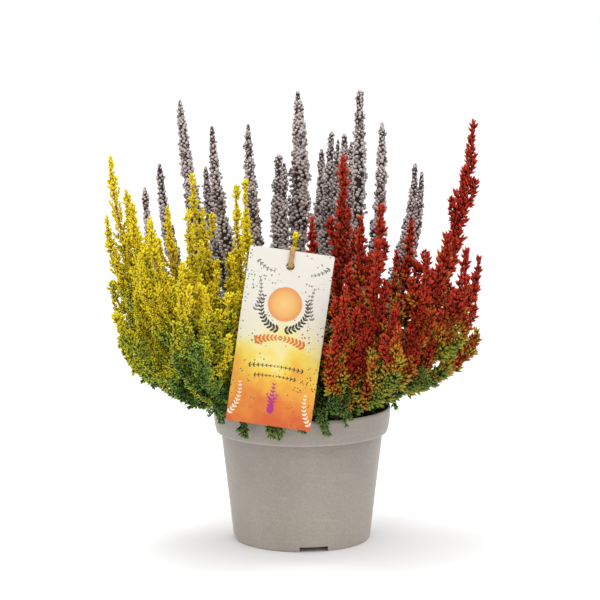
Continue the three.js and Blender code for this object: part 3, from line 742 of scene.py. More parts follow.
def stem_tree(side_shoot, bud):
    """Stems along lines, with side shoots wound round them, or closed buds where they are budding."""
    tree, given, result = new_tree(
        "Heather stem", lines=("Geometry", None),
        shoot_pitch=("Float", 0.0015, "DISTANCE"), bud_pitch=("Float", 0.0017, "DISTANCE"),
        leaf_length=("Float", 0.0022, "DISTANCE"), leaf_width=("Float", 0.0013, "DISTANCE"),
        bud_size=("Float", 0.0021, "DISTANCE"), leafiness=("Float", 1), splay=("Float", 0.7, "ANGLE"),
        tip_tilt=("Float", math.radians(26), "ANGLE"), low_tilt=("Float", math.radians(46), "ANGLE"),
        bark=("Material", None), leaves=("Material", None), buds=("Material", None), seed=("Int", 0),
    )
    curve = add(tree, "GeometryNodeMeshToCurve", mesh=given.lines)
    curve = add(tree, "GeometryNodeCurveSplineType", {"spline_type": "CATMULL_ROM"}, curve=curve)
    thick, reach, left, budding = (
        add(tree, "GeometryNodeInputNamedAttribute", {"data_type": "FLOAT"}, name=name)
        for name in ("thick", "reach", "left", "budding"))

    taper = add(tree, "ShaderNodeMapRange", {}, left, *TIP_TAPER)
    spot = add(tree, "GeometryNodeInputPosition")
    lumps = add(tree, "ShaderNodeTexNoise", vector=spot, scale=LUMPS_PER_METRE, detail=0)
    lumps = add(tree, "ShaderNodeMath", "MULTIPLY_ADD", lumps, LUMP_DEPTH, LUMP_LEAST)
    bud_reach = add(tree, "ShaderNodeMath", "MULTIPLY", reach, taper)
    bud_reach = add(tree, "ShaderNodeMath", "MULTIPLY", bud_reach, lumps)
    heart = add(tree, "ShaderNodeMath", "MULTIPLY", bud_reach, budding)
    heart = add(tree, "ShaderNodeMath", "MULTIPLY", heart, HEART_SHARE)
    heart = add(tree, "ShaderNodeMath", "MAXIMUM", heart, thick)

    ring = add(tree, "GeometryNodeCurvePrimitiveCircle", resolution=STEM_SIDES, radius=1)
    stem = add(tree, "GeometryNodeResampleCurve", {"mode": "LENGTH"}, curve=curve, length=STEM_STEP)
    stem = add(tree, "GeometryNodeCurveToMesh", curve=stem, profile_curve=ring, scale=heart, fill_caps=True)
    grown_parts = [add(tree, "GeometryNodeSetMaterial", geometry=stem, material=given.bark)]

    jitter, sway, size, chance = (
        add(tree, "FunctionNodeRandomValue", min=least, max=most, seed=given.seed)
        for least, most in (SPIN_SPREAD, LOOSE, SIZE_SPREAD, (0, 1)))
    spin = add(tree, "ShaderNodeMath", "MULTIPLY", add(tree, "GeometryNodeInputIndex"), GOLDEN_ANGLE)
    spin = add(tree, "ShaderNodeMath", "ADD", spin, jitter)
    opened = add(tree, "ShaderNodeMapRange", value=left, from_max=OPENING_RUN)
    tilt = add(tree, "ShaderNodeMapRange", value=opened, to_min=given.tip_tilt, to_max=given.low_tilt)
    for factor in (sway, add(tree, "ShaderNodeMapRange", {}, left, *TIP_UPRIGHT)):
        tilt = add(tree, "ShaderNodeMath", "MULTIPLY", tilt, factor)
    turn = add(tree, "FunctionNodeEulerToRotation", euler=add(tree, "ShaderNodeCombineXYZ", y=tilt, z=spin))
    is_bud = add(tree, "FunctionNodeCompare", "GREATER_THAN", budding, BUD_SEEN)
    no_bud = add(tree, "FunctionNodeCompare", "LESS_EQUAL", budding, BUD_SEEN)

    marked, turned = [], []
    for pitch, value in ((given.shoot_pitch, chance), (given.bud_pitch, size)):
        spots = add(tree, "GeometryNodeCurveToPoints", {"mode": "LENGTH"}, curve=curve, length=pitch)
        marked.append(add(
            tree, "GeometryNodeStoreNamedAttribute", geometry=spots, name="chance", value=value))
        turned.append(add(
            tree, "FunctionNodeRotateRotation", {"rotation_space": "LOCAL"},
            rotation=out(spots, "Rotation"), rotate_by=turn))

    for least, most, natural, count in SHOOT_KINDS:
        above = add(tree, "FunctionNodeCompare", "GREATER_EQUAL", reach, least)
        below = add(tree, "FunctionNodeCompare", "LESS_THAN", reach, most)
        wanted = add(tree, "FunctionNodeBooleanMath", "AND", above, below)
        wanted = add(tree, "FunctionNodeBooleanMath", "AND", wanted, no_bud)
        leaves = add(tree, "ShaderNodeMath", "MULTIPLY", given.leafiness, count)
        variants = add(tree, "GeometryNodeJoinGeometry")
        for variant in range(SHOOT_VARIANTS):
            shoot = add(
                tree, "GeometryNodeGroup", {"node_tree": side_shoot}, length=natural, leaves=leaves,
                leaf_length=given.leaf_length, leaf_width=given.leaf_width, splay=given.splay, seed=variant)
            feed(tree, variants, add(tree, "GeometryNodeGeometryToInstance", geometry=shoot))
        grow = add(tree, "ShaderNodeMath", "DIVIDE", reach, natural)
        for factor in (size, lumps):
            grow = add(tree, "ShaderNodeMath", "MULTIPLY", grow, factor)
        shoots = add(
            tree, "GeometryNodeInstanceOnPoints", points=marked[0], selection=wanted, instance=variants,
            pick_instance=True, rotation=turned[0],
            scale=add(tree, "ShaderNodeCombineXYZ", x=grow, y=grow, z=grow))
        shoots = add(tree, "GeometryNodeRealizeInstances", geometry=shoots)
        grown_parts.append(add(tree, "GeometryNodeSetMaterial", geometry=shoots, material=given.leaves))

    crowded = add(tree, "ShaderNodeMath", "ADD", bud_reach, BUD_ROOM)
    crowded = add(tree, "ShaderNodeMath", "DIVIDE", crowded, BUD_FULL_REACH)
    crowded = add(tree, "FunctionNodeCompare", "LESS_THAN", chance, crowded)
    wanted = add(tree, "FunctionNodeBooleanMath", "AND", is_bud, crowded)
    seat = add(tree, "ShaderNodeMath", "MULTIPLY", given.bud_size, BUD_SEAT)
    far = add(tree, "ShaderNodeMath", "SUBTRACT", bud_reach, seat)
    far = add(tree, "ShaderNodeMath", "MULTIPLY", far, size)
    away = add(tree, "FunctionNodeRotateVector", vector=(0, 0, 1), rotation=turned[1])
    away = add(tree, "ShaderNodeVectorMath", "SCALE", away, scale=far)
    wide = given.bud_size
    for factor in (size, add(tree, "ShaderNodeMapRange", {}, left, *BUD_SLIMMING)):
        wide = add(tree, "ShaderNodeMath", "MULTIPLY", wide, factor)
    buds = add(
        tree, "GeometryNodeInstanceOnPoints", points=marked[1], selection=wanted,
        instance=add(tree, "GeometryNodeGroup", {"node_tree": bud}), rotation=turned[1],
        scale=add(tree, "ShaderNodeCombineXYZ", x=wide, y=wide, z=wide))
    buds = add(tree, "GeometryNodeTranslateInstances", instances=buds, translation=away, local_space=False)
    buds = add(tree, "GeometryNodeRealizeInstances", geometry=buds)
    grown_parts.append(add(tree, "GeometryNodeSetMaterial", geometry=buds, material=given.buds))
    joined = add(tree, "GeometryNodeJoinGeometry")
    for part in grown_parts:
        feed(tree, joined, part)
    feed(tree, result, add(tree, "GeometryNodeSetShadeSmooth", geometry=joined))
    return tree


@lru_cache
def heather_tree():
    """The stem tree with its side shoots and buds, made once."""
    return stem_tree(side_shoot_tree(), bud_tree())


# Finishes. A noise's scale is its number of features in a metre, and the comments give their size

# A leaf's age is 0 for the youngest and 1 for the oldest. It grows down the stem and near the pot, and
# differs in patches about 30 mm across. Leaves take a painted shade at the foot of a side shoot and at their
# own foot
AGE_DOWN_STEM = (0, 0.2, 0, 0.5)
AGE_NEAR_POT = (0.2, 0.115, 0)
AGE_PATCHES = (0.3, 0.7, -0.24, 0.24)
AGE_PATCH_SCALE = 34
AGE_CHANCE = (0, 1, -0.12, 0.12)
SHOOT_SHADE = (0, 1, 0.36, 0)
LEAF_SHADE = (0.15, 0.8, 0.85, 0)


def leaf_material(name, settings):
    """Scale leaves of a heather: waxy green tissue that ripens to a hot colour towards a shoot's tip. Young
    leaves at a shoot's tip are bright and old ones low down are darker green; leaves inside a side shoot and
    at their own foot take a darker colour as painted shade, so the eye sees lit plumes over a deep interior."""
    material, tree, shader = new_material(name, roughness=0.55, specular_ior_level=0.18)
    left, chance, tone_value, shoot_share, leaf_share = (
        out(add(tree, "ShaderNodeAttribute", {"attribute_name": key}), "Fac")
        for key in ("left", "chance", "tone", "shoot_share", "leaf_share"))
    place = out(add(tree, "ShaderNodeTexCoord"), "Object")
    height = out(add(tree, "ShaderNodeSeparateXYZ", vector=place), "Z")
    patches = add(tree, "ShaderNodeTexNoise", vector=place, scale=AGE_PATCH_SCALE, detail=2)

    age = add(tree, "ShaderNodeMapRange", {}, left, *AGE_DOWN_STEM)
    for share in (
        add(tree, "ShaderNodeMapRange", {}, height, *AGE_NEAR_POT, settings.ageing),
        add(tree, "ShaderNodeMapRange", {}, patches, *AGE_PATCHES),
        add(tree, "ShaderNodeMapRange", {}, chance, *AGE_CHANCE),
    ):
        age = add(tree, "ShaderNodeMath", "ADD", age, share)
    age = add(tree, "ShaderNodeMath", "MULTIPLY_ADD", tone_value, settings.mixture, age)

    outer = add(tree, "ShaderNodeValToRGB", fac=age)
    inner = add(tree, "ShaderNodeValToRGB", fac=age)
    set_stops(outer, settings, "outer_")
    set_stops(inner, settings, "inner_")
    # The shaded ramp is painted shade, mixed in towards the foot of each side shoot and of each leaf
    along_shoot = add(tree, "ShaderNodeMapRange", {}, shoot_share, *SHOOT_SHADE)
    along_leaf = add(tree, "ShaderNodeMapRange", {}, leaf_share, *LEAF_SHADE)
    depth = add(tree, "ShaderNodeMath", {"operation": "ADD", "use_clamp": True}, along_shoot, along_leaf)
    feed(tree, shader, base_color=add(
        tree, "ShaderNodeMix", {"data_type": "RGBA"}, factor=depth, a=outer, b=inner))
    return material


# Buds are mottled at about 2 mm, and differ from one to the next. Bark has a grain of about 2 mm
BUD_GRAIN_SCALE = 420
BUD_MOTTLE = (0.5, -0.25)
BUD_CHANCE = (0.35, -0.17)
BARK_GRAIN_SCALE = 600
BARK_RISE = (0.09, 0.18, 0, 1)


def bud_material(name, settings):
    """Closed heather buds: papery silver-white sepals over a mauve-grey calyx with a near-black foot, partly
    its own colour and partly painted shade, so that each spike reads as pale beads with dark gaps between
    them."""
    material, tree, shader = new_material(name, roughness=0.6, specular_ior_level=0.15)
    leaf_share, chance = (
        out(add(tree, "ShaderNodeAttribute", {"attribute_name": key}), "Fac")
        for key in ("leaf_share", "chance"))
    place = out(add(tree, "ShaderNodeTexCoord"), "Object")
    grain = add(tree, "ShaderNodeTexNoise", vector=place, scale=BUD_GRAIN_SCALE, detail=2)
    shade = add(tree, "ShaderNodeMath", "MULTIPLY_ADD", grain, *BUD_MOTTLE)
    lucky = add(tree, "ShaderNodeMath", "MULTIPLY_ADD", chance, *BUD_CHANCE)
    along = add(tree, "ShaderNodeMath", "ADD", leaf_share, shade)
    colour_ramp = add(tree, "ShaderNodeValToRGB", fac=add(tree, "ShaderNodeMath", "ADD", along, lucky))
    set_stops(colour_ramp, settings, "bud_")
    feed(tree, shader, base_color=colour_ramp)
    return material


def bark_material(name, settings):
    """Thin woody heather bark: orange-brown where it is young and grey-brown near the peat."""
    material, tree, shader = new_material(name, roughness=0.8)
    place = out(add(tree, "ShaderNodeTexCoord"), "Object")
    height = out(add(tree, "ShaderNodeSeparateXYZ", vector=place), "Z")
    grain = add(tree, "ShaderNodeTexNoise", vector=place, scale=BARK_GRAIN_SCALE, detail=3)
    rise = add(tree, "ShaderNodeMapRange", {}, height, *BARK_RISE)
    colour_ramp = add(tree, "ShaderNodeValToRGB", fac=add(tree, "ShaderNodeMath", "MULTIPLY", rise, grain))
    set_stops(colour_ramp, settings, "bark_")
    feed(tree, shader, base_color=colour_ramp)
    return material


# The plastic's clouds are about 45 mm across, its specks 1 mm and its orange-peel 0.7 mm. Flow marks are
# about 18 mm long and lie round the wall. A pale line along the band's lower edge is a painted highlight, the
# wall under the band has a painted shadow, and painted light makes the wall paler towards the foot and darker
# towards the band
WHITE = (1, 1, 1, 1)
SPECK_COLOUR = (0.1, 0.09, 0.08, 1)
CLOUD_SCALE = 22
CLOUDS = (0.35, 0.6, 0, 1)
DUST = (0.3, 0.7)
DUST_ROUGHNESS = (-0.06, 0.08)
SPECK_SCALE = 850
SPECKS = (0.35, 0.65, 0.2, 0)
FLOW_SCALE = 55
FLOW_SQUEEZE = (1, 1, 9)
FLOW_MARKS = (0.58, 0.72, 0, 0.04)
PAINTED_EDGE_HIGHLIGHT = (0.0003, 0.001, 0.1, 0)
PAINTED_WALL_LIGHT = (0.004, BAND_EDGE * MM, 1.24, 0.92)
PAINTED_BAND_SHADOW = ((BAND_EDGE - 11) * MM, BAND_EDGE * MM, 1, 0.88)
WALL_TOP = (BAND_EDGE - 0.6) * MM
PEEL_SCALE = 1400


def plastic_material(name, settings):
    """Injection-moulded polypropylene: one taupe pigment, a satin skin with a faint orange-peel and a
    little dust, so highlights are broad and soft."""
    material, tree, shader = new_material(name, specular_ior_level=0.4)
    place = out(add(tree, "ShaderNodeTexCoord"), "Object")
    height = out(add(tree, "ShaderNodeSeparateXYZ", vector=place), "Z")
    cloud = add(tree, "ShaderNodeTexNoise", vector=place, scale=CLOUD_SCALE, detail=4)
    grain = add(tree, "ShaderNodeTexNoise", vector=place, scale=SPECK_SCALE, detail=2)
    flow = add(tree, "ShaderNodeMapping", vector=place, scale=FLOW_SQUEEZE)
    flow = add(tree, "ShaderNodeTexNoise", vector=flow, scale=FLOW_SCALE, detail=6)
    # The way from the band's lower edge, along which a pale line is painted as a highlight
    edge = add(tree, "ShaderNodeMath", "SUBTRACT", height, BAND_EDGE * MM)
    edge = add(tree, "ShaderNodeMath", "ABSOLUTE", edge)
    skin = (*settings.plastic_shade, 1)
    for pattern, span, layer in (
        (cloud, CLOUDS, (*settings.plastic, 1)), (grain, SPECKS, SPECK_COLOUR),
        (flow, FLOW_MARKS, WHITE), (edge, PAINTED_EDGE_HIGHLIGHT, WHITE),
    ):
        share = add(tree, "ShaderNodeMapRange", {}, pattern, *span)
        skin = add(tree, "ShaderNodeMix", {"data_type": "RGBA"}, factor=share, a=skin, b=layer)
    # Painted light on the wall below the band: paler towards the foot, darker towards the band, with a
    # painted shadow just under the band
    painted_light = add(tree, "ShaderNodeMapRange", {}, height, *PAINTED_WALL_LIGHT)
    band_shadow = add(tree, "ShaderNodeMapRange", {}, height, *PAINTED_BAND_SHADOW)
    painted_light = add(tree, "ShaderNodeMath", "MULTIPLY", painted_light, band_shadow)
    on_wall = add(tree, "ShaderNodeMath", "LESS_THAN", height, WALL_TOP)
    painted_light = add(tree, "ShaderNodeMix", {"data_type": "FLOAT"}, factor=on_wall, a=1, b=painted_light)
    roughness = [settings.roughness + change for change in DUST_ROUGHNESS]
    peel = add(tree, "ShaderNodeTexNoise", vector=place, scale=PEEL_SCALE, detail=1)
    feed(
        tree, shader, base_color=add(tree, "ShaderNodeVectorMath", "SCALE", skin, scale=painted_light),
        roughness=add(tree, "ShaderNodeMapRange", {}, cloud, *DUST, *roughness),
        normal=add(tree, "ShaderNodeBump", strength=0.08, distance=0.0001, height=peel))
    return material


# Peat crumbs are about 4 mm across. The fibre's strands are counted on its own UV, 3 to a repeat, and
# drawn out 14 to 0.6, so that each is about 0.2 mm wide and runs along the band
CRUMB_SCALE = 260
STRAND_STRETCH = (14, 0.6, 1)
STRAND_SCALE = 3
STRANDS = (0.35, 0.6, 0, 1)


def peat_material(name, settings):
    """Moist fibrous peat: near-black crumbs with brown fibres, matt, so the interior falls to black."""
    material, tree, shader = new_material(name, roughness=0.95)
    place = out(add(tree, "ShaderNodeTexCoord"), "Object")
    crumbs = add(tree, "ShaderNodeTexNoise", vector=place, scale=CRUMB_SCALE, detail=5)
    colour_ramp = add(tree, "ShaderNodeValToRGB", fac=crumbs)
    set_stops(colour_ramp, settings, "peat_")
    bump = add(tree, "ShaderNodeBump", strength=0.6, distance=0.001, height=crumbs)
    feed(tree, shader, base_color=colour_ramp, normal=bump)
    return material


def fibre_material(name, settings):
    """Flat raffia-like paper fibre: pale tan with darker strands along it."""
    material, tree, shader = new_material(name, roughness=0.75)
    drawn_out = add(tree, "ShaderNodeMapping", vector=add(tree, "ShaderNodeUVMap"), scale=STRAND_STRETCH)
    strands = add(tree, "ShaderNodeTexNoise", vector=drawn_out, scale=STRAND_SCALE, detail=4)
    fibre = add(
        tree, "ShaderNodeMix", {"data_type": "RGBA"}, a=(*settings.fibre_shade, 1), b=(*settings.fibre, 1),
        factor=add(tree, "ShaderNodeMapRange", {}, strands, *STRANDS))
    bump = add(tree, "ShaderNodeBump", strength=0.3, distance=0.0003, height=strands)
    feed(tree, shader, base_color=fibre, normal=bump)
    return material


# The card's print on its own UV, in which 1 is the tag's length. The wash's edge wanders, splashes are
# dots that show where a noise is high, mostly near the card's sides, and a disc with a soft rim stands
# above the middle
WASH_SCALE = 4.5
WASH_EDGE = (0.3, 0.7, -0.13, 0.13)
DOT_SCALE = 52
DOT_RADIUS = 0.24
SPLASH_SCALE = 9
SPLASH_TO_SIDES = 0.6
SPLASH_LEAST = 0.6
DISC_CENTRE = (0.5, 0.5 + 24 / TAG_LENGTH, 0)
DISC_RIPPLE_SCALE = 26
DISC_RIPPLE = 0.008
DISC_EDGE = (0.1, 0.103, 0.9, 0)
DISC_COLOURS = 0.11


def card_material(name, settings):
    """Coated card printed with a watercolour wash: warm white above, yellow below the middle and orange
    at the foot, with soft uneven edges and a few splashes, so it reads as an autumn label."""
    material, tree, shader = new_material(name, roughness=0.42, specular_ior_level=0.45)
    spot = add(tree, "ShaderNodeUVMap")
    across = add(tree, "ShaderNodeSeparateXYZ", vector=spot)
    pool = add(tree, "ShaderNodeTexNoise", vector=spot, scale=WASH_SCALE, detail=6, roughness=0.55)
    edge = add(tree, "ShaderNodeMapRange", {}, pool, *WASH_EDGE)
    wash = add(tree, "ShaderNodeValToRGB", fac=add(tree, "ShaderNodeMath", "ADD", out(across, "Y"), edge))
    set_stops(wash, settings, "wash_")
    dots = add(tree, "ShaderNodeTexVoronoi", vector=spot, scale=DOT_SCALE)
    dots = add(tree, "ShaderNodeMath", "LESS_THAN", out(dots, "Distance"), DOT_RADIUS)
    rare = add(tree, "ShaderNodeTexNoise", vector=spot, scale=SPLASH_SCALE, detail=1)
    aside = add(tree, "ShaderNodeMath", "SUBTRACT", out(across, "X"), 0.5)
    aside = add(tree, "ShaderNodeMath", "ABSOLUTE", aside)
    rare = add(tree, "ShaderNodeMath", "MULTIPLY_ADD", aside, SPLASH_TO_SIDES, rare)
    region = add(tree, "ShaderNodeMath", "GREATER_THAN", rare, SPLASH_LEAST)
    splash = add(tree, "ShaderNodeMath", "MULTIPLY", dots, region)
    inks = add(tree, "ShaderNodeValToRGB", fac=out(across, "X"))
    set_stops(inks, settings, "splash_")
    specked = add(tree, "ShaderNodeMix", {"data_type": "RGBA"}, factor=splash, a=wash, b=inks)
    away = add(tree, "ShaderNodeVectorMath", "DISTANCE", spot, DISC_CENTRE)
    ripple = add(tree, "ShaderNodeTexNoise", vector=spot, scale=DISC_RIPPLE_SCALE, detail=3)
    away = add(tree, "ShaderNodeMath", "MULTIPLY_ADD", ripple, DISC_RIPPLE, away)
    disc = add(tree, "ShaderNodeMapRange", {}, away, *DISC_EDGE)
    outwards = add(tree, "ShaderNodeMapRange", value=away, from_max=DISC_COLOURS)
    sun = add(tree, "ShaderNodeValToRGB", fac=outwards)
    set_stops(sun, settings, "disc_")
    feed(tree, shader, base_color=add(
        tree, "ShaderNodeMix", {"data_type": "RGBA"}, factor=disc, a=specked, b=sun))
    return material


# Shapes

# Edges sharper than these many degrees stay sharp
SHARP = 35
SHARP_CARD = 30
SHARP_FIBRE = 50
SHARP_PEAT = 80


def finished(name, bm, smooth_angle=SHARP):
    """An object from a bmesh, with faces outward and edges sharper than an angle kept sharp."""
    bmesh.ops.recalc_face_normals(bm, faces=bm.faces)
    mesh = bpy.data.meshes.new(name)
    bm.to_mesh(mesh)
    bm.free()
    mesh.shade_smooth()
    mesh.set_sharp_from_angle(angle=math.radians(smooth_angle))
    piece = bpy.data.objects.new(name, mesh)
    bpy.context.scene.collection.objects.link(piece)
    return piece


def rounded(corners, steps=4):
    """An outline of (across, up, radius) corners with each corner rounded by its radius."""
    outline = []
    points = [Vector(corner[:2]) for corner in corners]
    for i, (_, _, radius) in enumerate(corners):
        here = points[i]
        if radius == 0:
            outline.append(here)
            continue
        before = (points[i - 1] - here).normalized() * radius
        after = (points[(i + 1) % len(points)] - here).normalized() * radius
        for k in range(steps + 1):
            t = k / steps
            outline.append(here + before * (1 - t) ** 2 + after * t * t)
    return outline


def rounded_box(wide, high, radius, steps=4):
    """The outline of a rectangle about the middle with rounded corners."""
    across, up = wide / 2, high / 2
    corners = ((-across, -up), (across, -up), (across, up), (-across, up))
    return rounded([(*corner, radius) for corner in corners], steps)


def lathe(bm, outline, sectors):
    """A closed solid turned about the axis from an outline that starts and ends on the axis, in mm."""
    turn = [2 * math.pi * k / sectors for k in range(sectors)]
    rings = []
    for across, up in outline:
        if across == 0:
            rings.append([bm.verts.new((0, 0, up * MM))])
            continue
        rings.append([
            bm.verts.new((across * MM * math.cos(a), across * MM * math.sin(a), up * MM)) for a in turn])
    for low, high in zip(rings, rings[1:]):
        for k in range(sectors):
            n = (k + 1) % sectors
            corners = (low[k % len(low)], low[n % len(low)], high[n % len(high)], high[k % len(high)])
            bm.faces.new(dict.fromkeys(corners))


def cut_away(piece, cutter):
    """The piece less a cutter, which is thrown away."""
    cut = piece.modifiers.new("Cut", "BOOLEAN")
    cut.operation = "DIFFERENCE"
    cut.object = cutter
    depsgraph = bpy.context.evaluated_depsgraph_get()
    mesh = bpy.data.meshes.new_from_object(piece.evaluated_get(depsgraph), depsgraph=depsgraph)
    piece.modifiers.remove(cut)
    piece.data = mesh
    bpy.data.objects.remove(cutter)


# Where the pot's wall and its band meet, the radius inside the rim, the step of the inside under it and
# the height that the raised floor has inside
BAND_TOP_OF_WALL = POT_HEIGHT - BAND_HEIGHT
RIM_INSIDE = RIM_RADIUS - POT_WALL
INSIDE_STEP = 1.1
FLOOR_TOP = FLOOR_UNDERSIDE + POT_WALL
HOLE_SIDES = 32


def pot_outline():
    """The pot's section: foot ring, tapered wall, band under the rim and the inside back to the axis. Each
    row is a corner's way out and up and its radius."""
    ring = BODY_FOOT_RADIUS - FOOT_RING_WIDTH
    band = BAND_TOP_OF_WALL
    return rounded((
        (0, FLOOR_UNDERSIDE, 0), (ring, FLOOR_UNDERSIDE, 0.6), (ring, 0, 0.5),
        (BODY_FOOT_RADIUS - 0.4, 0, 0.8), (BODY_FOOT_RADIUS + 0.2, 2, 0.4), (BODY_TOP_RADIUS, band, 0.9),
        (RIM_RADIUS - 2.3, band + 0.1, 0.5), (RIM_RADIUS - 0.9, band + 6, 3),
        (RIM_RADIUS, POT_HEIGHT - 1.8, 0.6), (RIM_RADIUS - 0.6, POT_HEIGHT, 0.6),
        (RIM_INSIDE, POT_HEIGHT - 0.4, 0.6), (RIM_INSIDE - INSIDE_STEP, band + 3, 1),
        (BODY_TOP_RADIUS - POT_WALL, band - 1, 1), (BODY_FOOT_RADIUS - POT_WALL, FLOOR_TOP, 2),
        (0, FLOOR_TOP, 0),
    ))


def make_pot(settings):
    """The pot with its foot notches and drain holes cut through."""
    bm = bmesh.new()
    lathe(bm, pot_outline(), settings.sectors)
    pot = finished("taupe_pot", bm)
    cutters = bmesh.new()
    for i in range(NOTCH_COUNT):
        turn = NOTCH_TURN + i * 2 * math.pi / NOTCH_COUNT
        place = Matrix.Rotation(turn, 4, "Z") @ Matrix.Translation((0, -BODY_FOOT_RADIUS * MM, 0))
        size = Matrix.Diagonal((*(MM * s for s in NOTCH_SIZE), 1))
        bmesh.ops.create_cube(cutters, size=1, matrix=place @ size)
        hole = Matrix.Translation((DRAIN_CIRCLE * MM * math.sin(turn), DRAIN_CIRCLE * MM * math.cos(turn), 0))
        bmesh.ops.create_cone(
            cutters, cap_ends=True, segments=HOLE_SIDES, radius1=DRAIN_RADIUS * MM,
            radius2=DRAIN_RADIUS * MM, depth=4 * FLOOR_UNDERSIDE * MM, matrix=hole)
    cut_away(pot, finished("pot_cutters", cutters))
    pot.data.set_sharp_from_angle(angle=math.radians(SHARP))
    pot.data.materials.clear()
    pot.data.materials.append(plastic_material("Taupe polypropylene", settings))
    return placed(pot, "pot_plastic", "pot")


# Crumbs lie on faces that look up, turned any way, and are of uneven sizes
CRUMBS_PER_AREA = 90000
CRUMB_TURNS = ((0, 0, 0), (6, 6, 6))
CRUMB_SIZES = ((0.4, 0.4, 0.3), (1.4, 1, 0.8))
FACING_UP = 0.5

# The peat's sectors, the rings of its top and the number of its bumps in a metre
PEAT_SECTORS = 72
PEAT_RINGS = 16
BUMPS_PER_METRE = 90


def crumb_tree():
    """Peat crumbs scattered over the upward faces of a surface."""
    tree, given, result = new_tree(
        "Peat crumbs", surface=("Geometry", None), density=("Float", CRUMBS_PER_AREA),
        crumb=("Float", 0.0012, "DISTANCE"), finish=("Material", None), seed=("Int", 0),
    )
    facing = add(tree, "ShaderNodeSeparateXYZ", vector=add(tree, "GeometryNodeInputNormal"))
    upward = add(tree, "FunctionNodeCompare", "GREATER_THAN", out(facing, "Z"), FACING_UP)
    points = add(
        tree, "GeometryNodeDistributePointsOnFaces", mesh=given.surface, selection=upward,
        density=given.density, seed=given.seed)
    crumb = add(tree, "GeometryNodeMeshIcoSphere", radius=1, subdivisions=1)
    turn, size = (
        add(tree, "FunctionNodeRandomValue", {"data_type": "FLOAT_VECTOR"}, *span)
        for span in (CRUMB_TURNS, CRUMB_SIZES))
    size = add(tree, "ShaderNodeVectorMath", "SCALE", size, scale=given.crumb)
    crumbs = add(
        tree, "GeometryNodeInstanceOnPoints", points=points, instance=crumb, rotation=turn, scale=size)
    joined = add(tree, "GeometryNodeJoinGeometry", geometry=given.surface)
    feed(tree, joined, crumbs)
    solid = add(tree, "GeometryNodeRealizeInstances", geometry=joined)
    feed(tree, result, add(tree, "GeometryNodeSetMaterial", geometry=solid, material=given.finish))
    return tree


def make_peat(settings):
    """The peat, with an uneven crumbly top a finger's width below the rim."""
    inset = POT_WALL + 2 * GAP
    mouth = RIM_INSIDE - INSIDE_STEP - 2 * GAP
    outline = [
        (0, FLOOR_TOP + GAP), (BODY_FOOT_RADIUS - inset, FLOOR_TOP + GAP),
        (BODY_TOP_RADIUS - inset, BAND_TOP_OF_WALL - 1), (mouth, BAND_TOP_OF_WALL + 3 + GAP),
        (mouth, SOIL_TOP - 1),
    ]
    outline += [(mouth * (1 - k / PEAT_RINGS), SOIL_TOP) for k in range(1, PEAT_RINGS + 1)]
    bm = bmesh.new()
    lathe(bm, outline, PEAT_SECTORS)
    for vert in bm.verts:
        if vert.co.z > (SOIL_TOP - 0.5) * MM:
            vert.co.z += noise.noise(vert.co * BUMPS_PER_METRE) * settings.unevenness
    peat = finished("peat_surface", bm, SHARP_PEAT)
    surface = peat.data
    bpy.data.objects.remove(peat)
    peat = grown("peat", surface, crumb_tree(), settings, finish=peat_material("Moist peat", settings))
    return placed(peat, "peat", "soil")


def make_tag(settings):
    """The card with rounded corners and its hole, leaning back on the foliage."""
    bm = bmesh.new()
    front = -TAG_THICKNESS / 2
    outline = [bm.verts.new((p.x, front, p.y)) for p in rounded_box(TAG_WIDTH, TAG_LENGTH, TAG_CORNER)]
    turn = [2 * math.pi * k / HOLE_SIDES for k in range(HOLE_SIDES)]
    hole = [
        bm.verts.new((TAG_HOLE_RADIUS * math.cos(a), front, TAG_HOLE_HEIGHT + TAG_HOLE_RADIUS * math.sin(a)))
        for a in turn
    ]
    edges = [bm.edges.new(pair) for loop in (outline, hole) for pair in zip(loop, loop[1:] + loop[:1])]
    faces = bmesh.ops.triangle_fill(bm, edges=edges, use_beauty=True)["geom"]
    faces = [f for f in faces if isinstance(f, bmesh.types.BMFace)]
    back = bmesh.ops.extrude_face_region(bm, geom=faces)["geom"]
    back = [v for v in back if isinstance(v, bmesh.types.BMVert)]
    bmesh.ops.translate(bm, vec=(0, TAG_THICKNESS, 0), verts=back)
    spots = bm.loops.layers.uv.new("UVMap")
    for face in bm.faces:
        for corner in face.loops:
            corner[spots].uv = (corner.vert.co.x / TAG_LENGTH + 0.5, corner.vert.co.z / TAG_LENGTH + 0.5)
    bm.transform(Matrix.Scale(MM, 4) @ tag_frame())
    tag = finished("card_tag", bm, SHARP_CARD)
    tag.data.materials.append(card_material("Washed card", settings))
    return placed(tag, "tag_card", "tag")


# A printed sprig's leaves are flat, slim and spread from its stalk
PRINT_STALK_SIDES = 4
PRINT_LEAF_FACES = (6, 4)
PRINT_LEAF_SLIMNESS = 0.46
PRINT_LEAF_SPREAD = math.radians(48)
PRINT_STEPS = 8
PRINT_LEAF_SHRINK = 0.45

# The print's sprigs. Each is an arc about a centre, across and up in millimetres, with its radius, its
# first and last angle in degrees, its leaves' length and its ink
PRINT_INKS = dict(olive=0.1, umber=0.3, orange=0.5, pink=0.7, cream=0.9)
PRINT_SPRIGS = (
    (0, 22, 16.5, 262, 160, 4, "umber"), (0, 22, 16.5, 278, 380, 4, "umber"),
    (0, -40, 40, 116, 92, 4.4, "orange"), (0, -40, 40, 64, 88, 4.4, "orange"),
    (-52, 30, 34, -22, 18, 2.6, "olive"), (52, 28, 34, 202, 165, 2.6, "olive"),
    (-8, 66, 20, 222, 262, 2.4, "olive"), (12, 66, 20, 320, 282, 2.4, "olive"),
    (22, -52, 22, 184, 148, 3, "pink"), (-22, -52, 22, -4, 32, 3, "pink"),
    (600, -52, 600, 180, 178.2, 3.6, "pink"),
    (-50, -40, 27, -38, 12, 3, "cream"), (50, -42, 27, 218, 172, 3, "cream"),
    (0, -168, 148, 97.5, 90.5, 2.3, "umber"), (0, -168, 148, 82.5, 89.5, 2.3, "umber"),
    (0, -168, 141, 96, 90.5, 2, "umber"), (0, -168, 141, 84, 89.5, 2, "umber"),
)


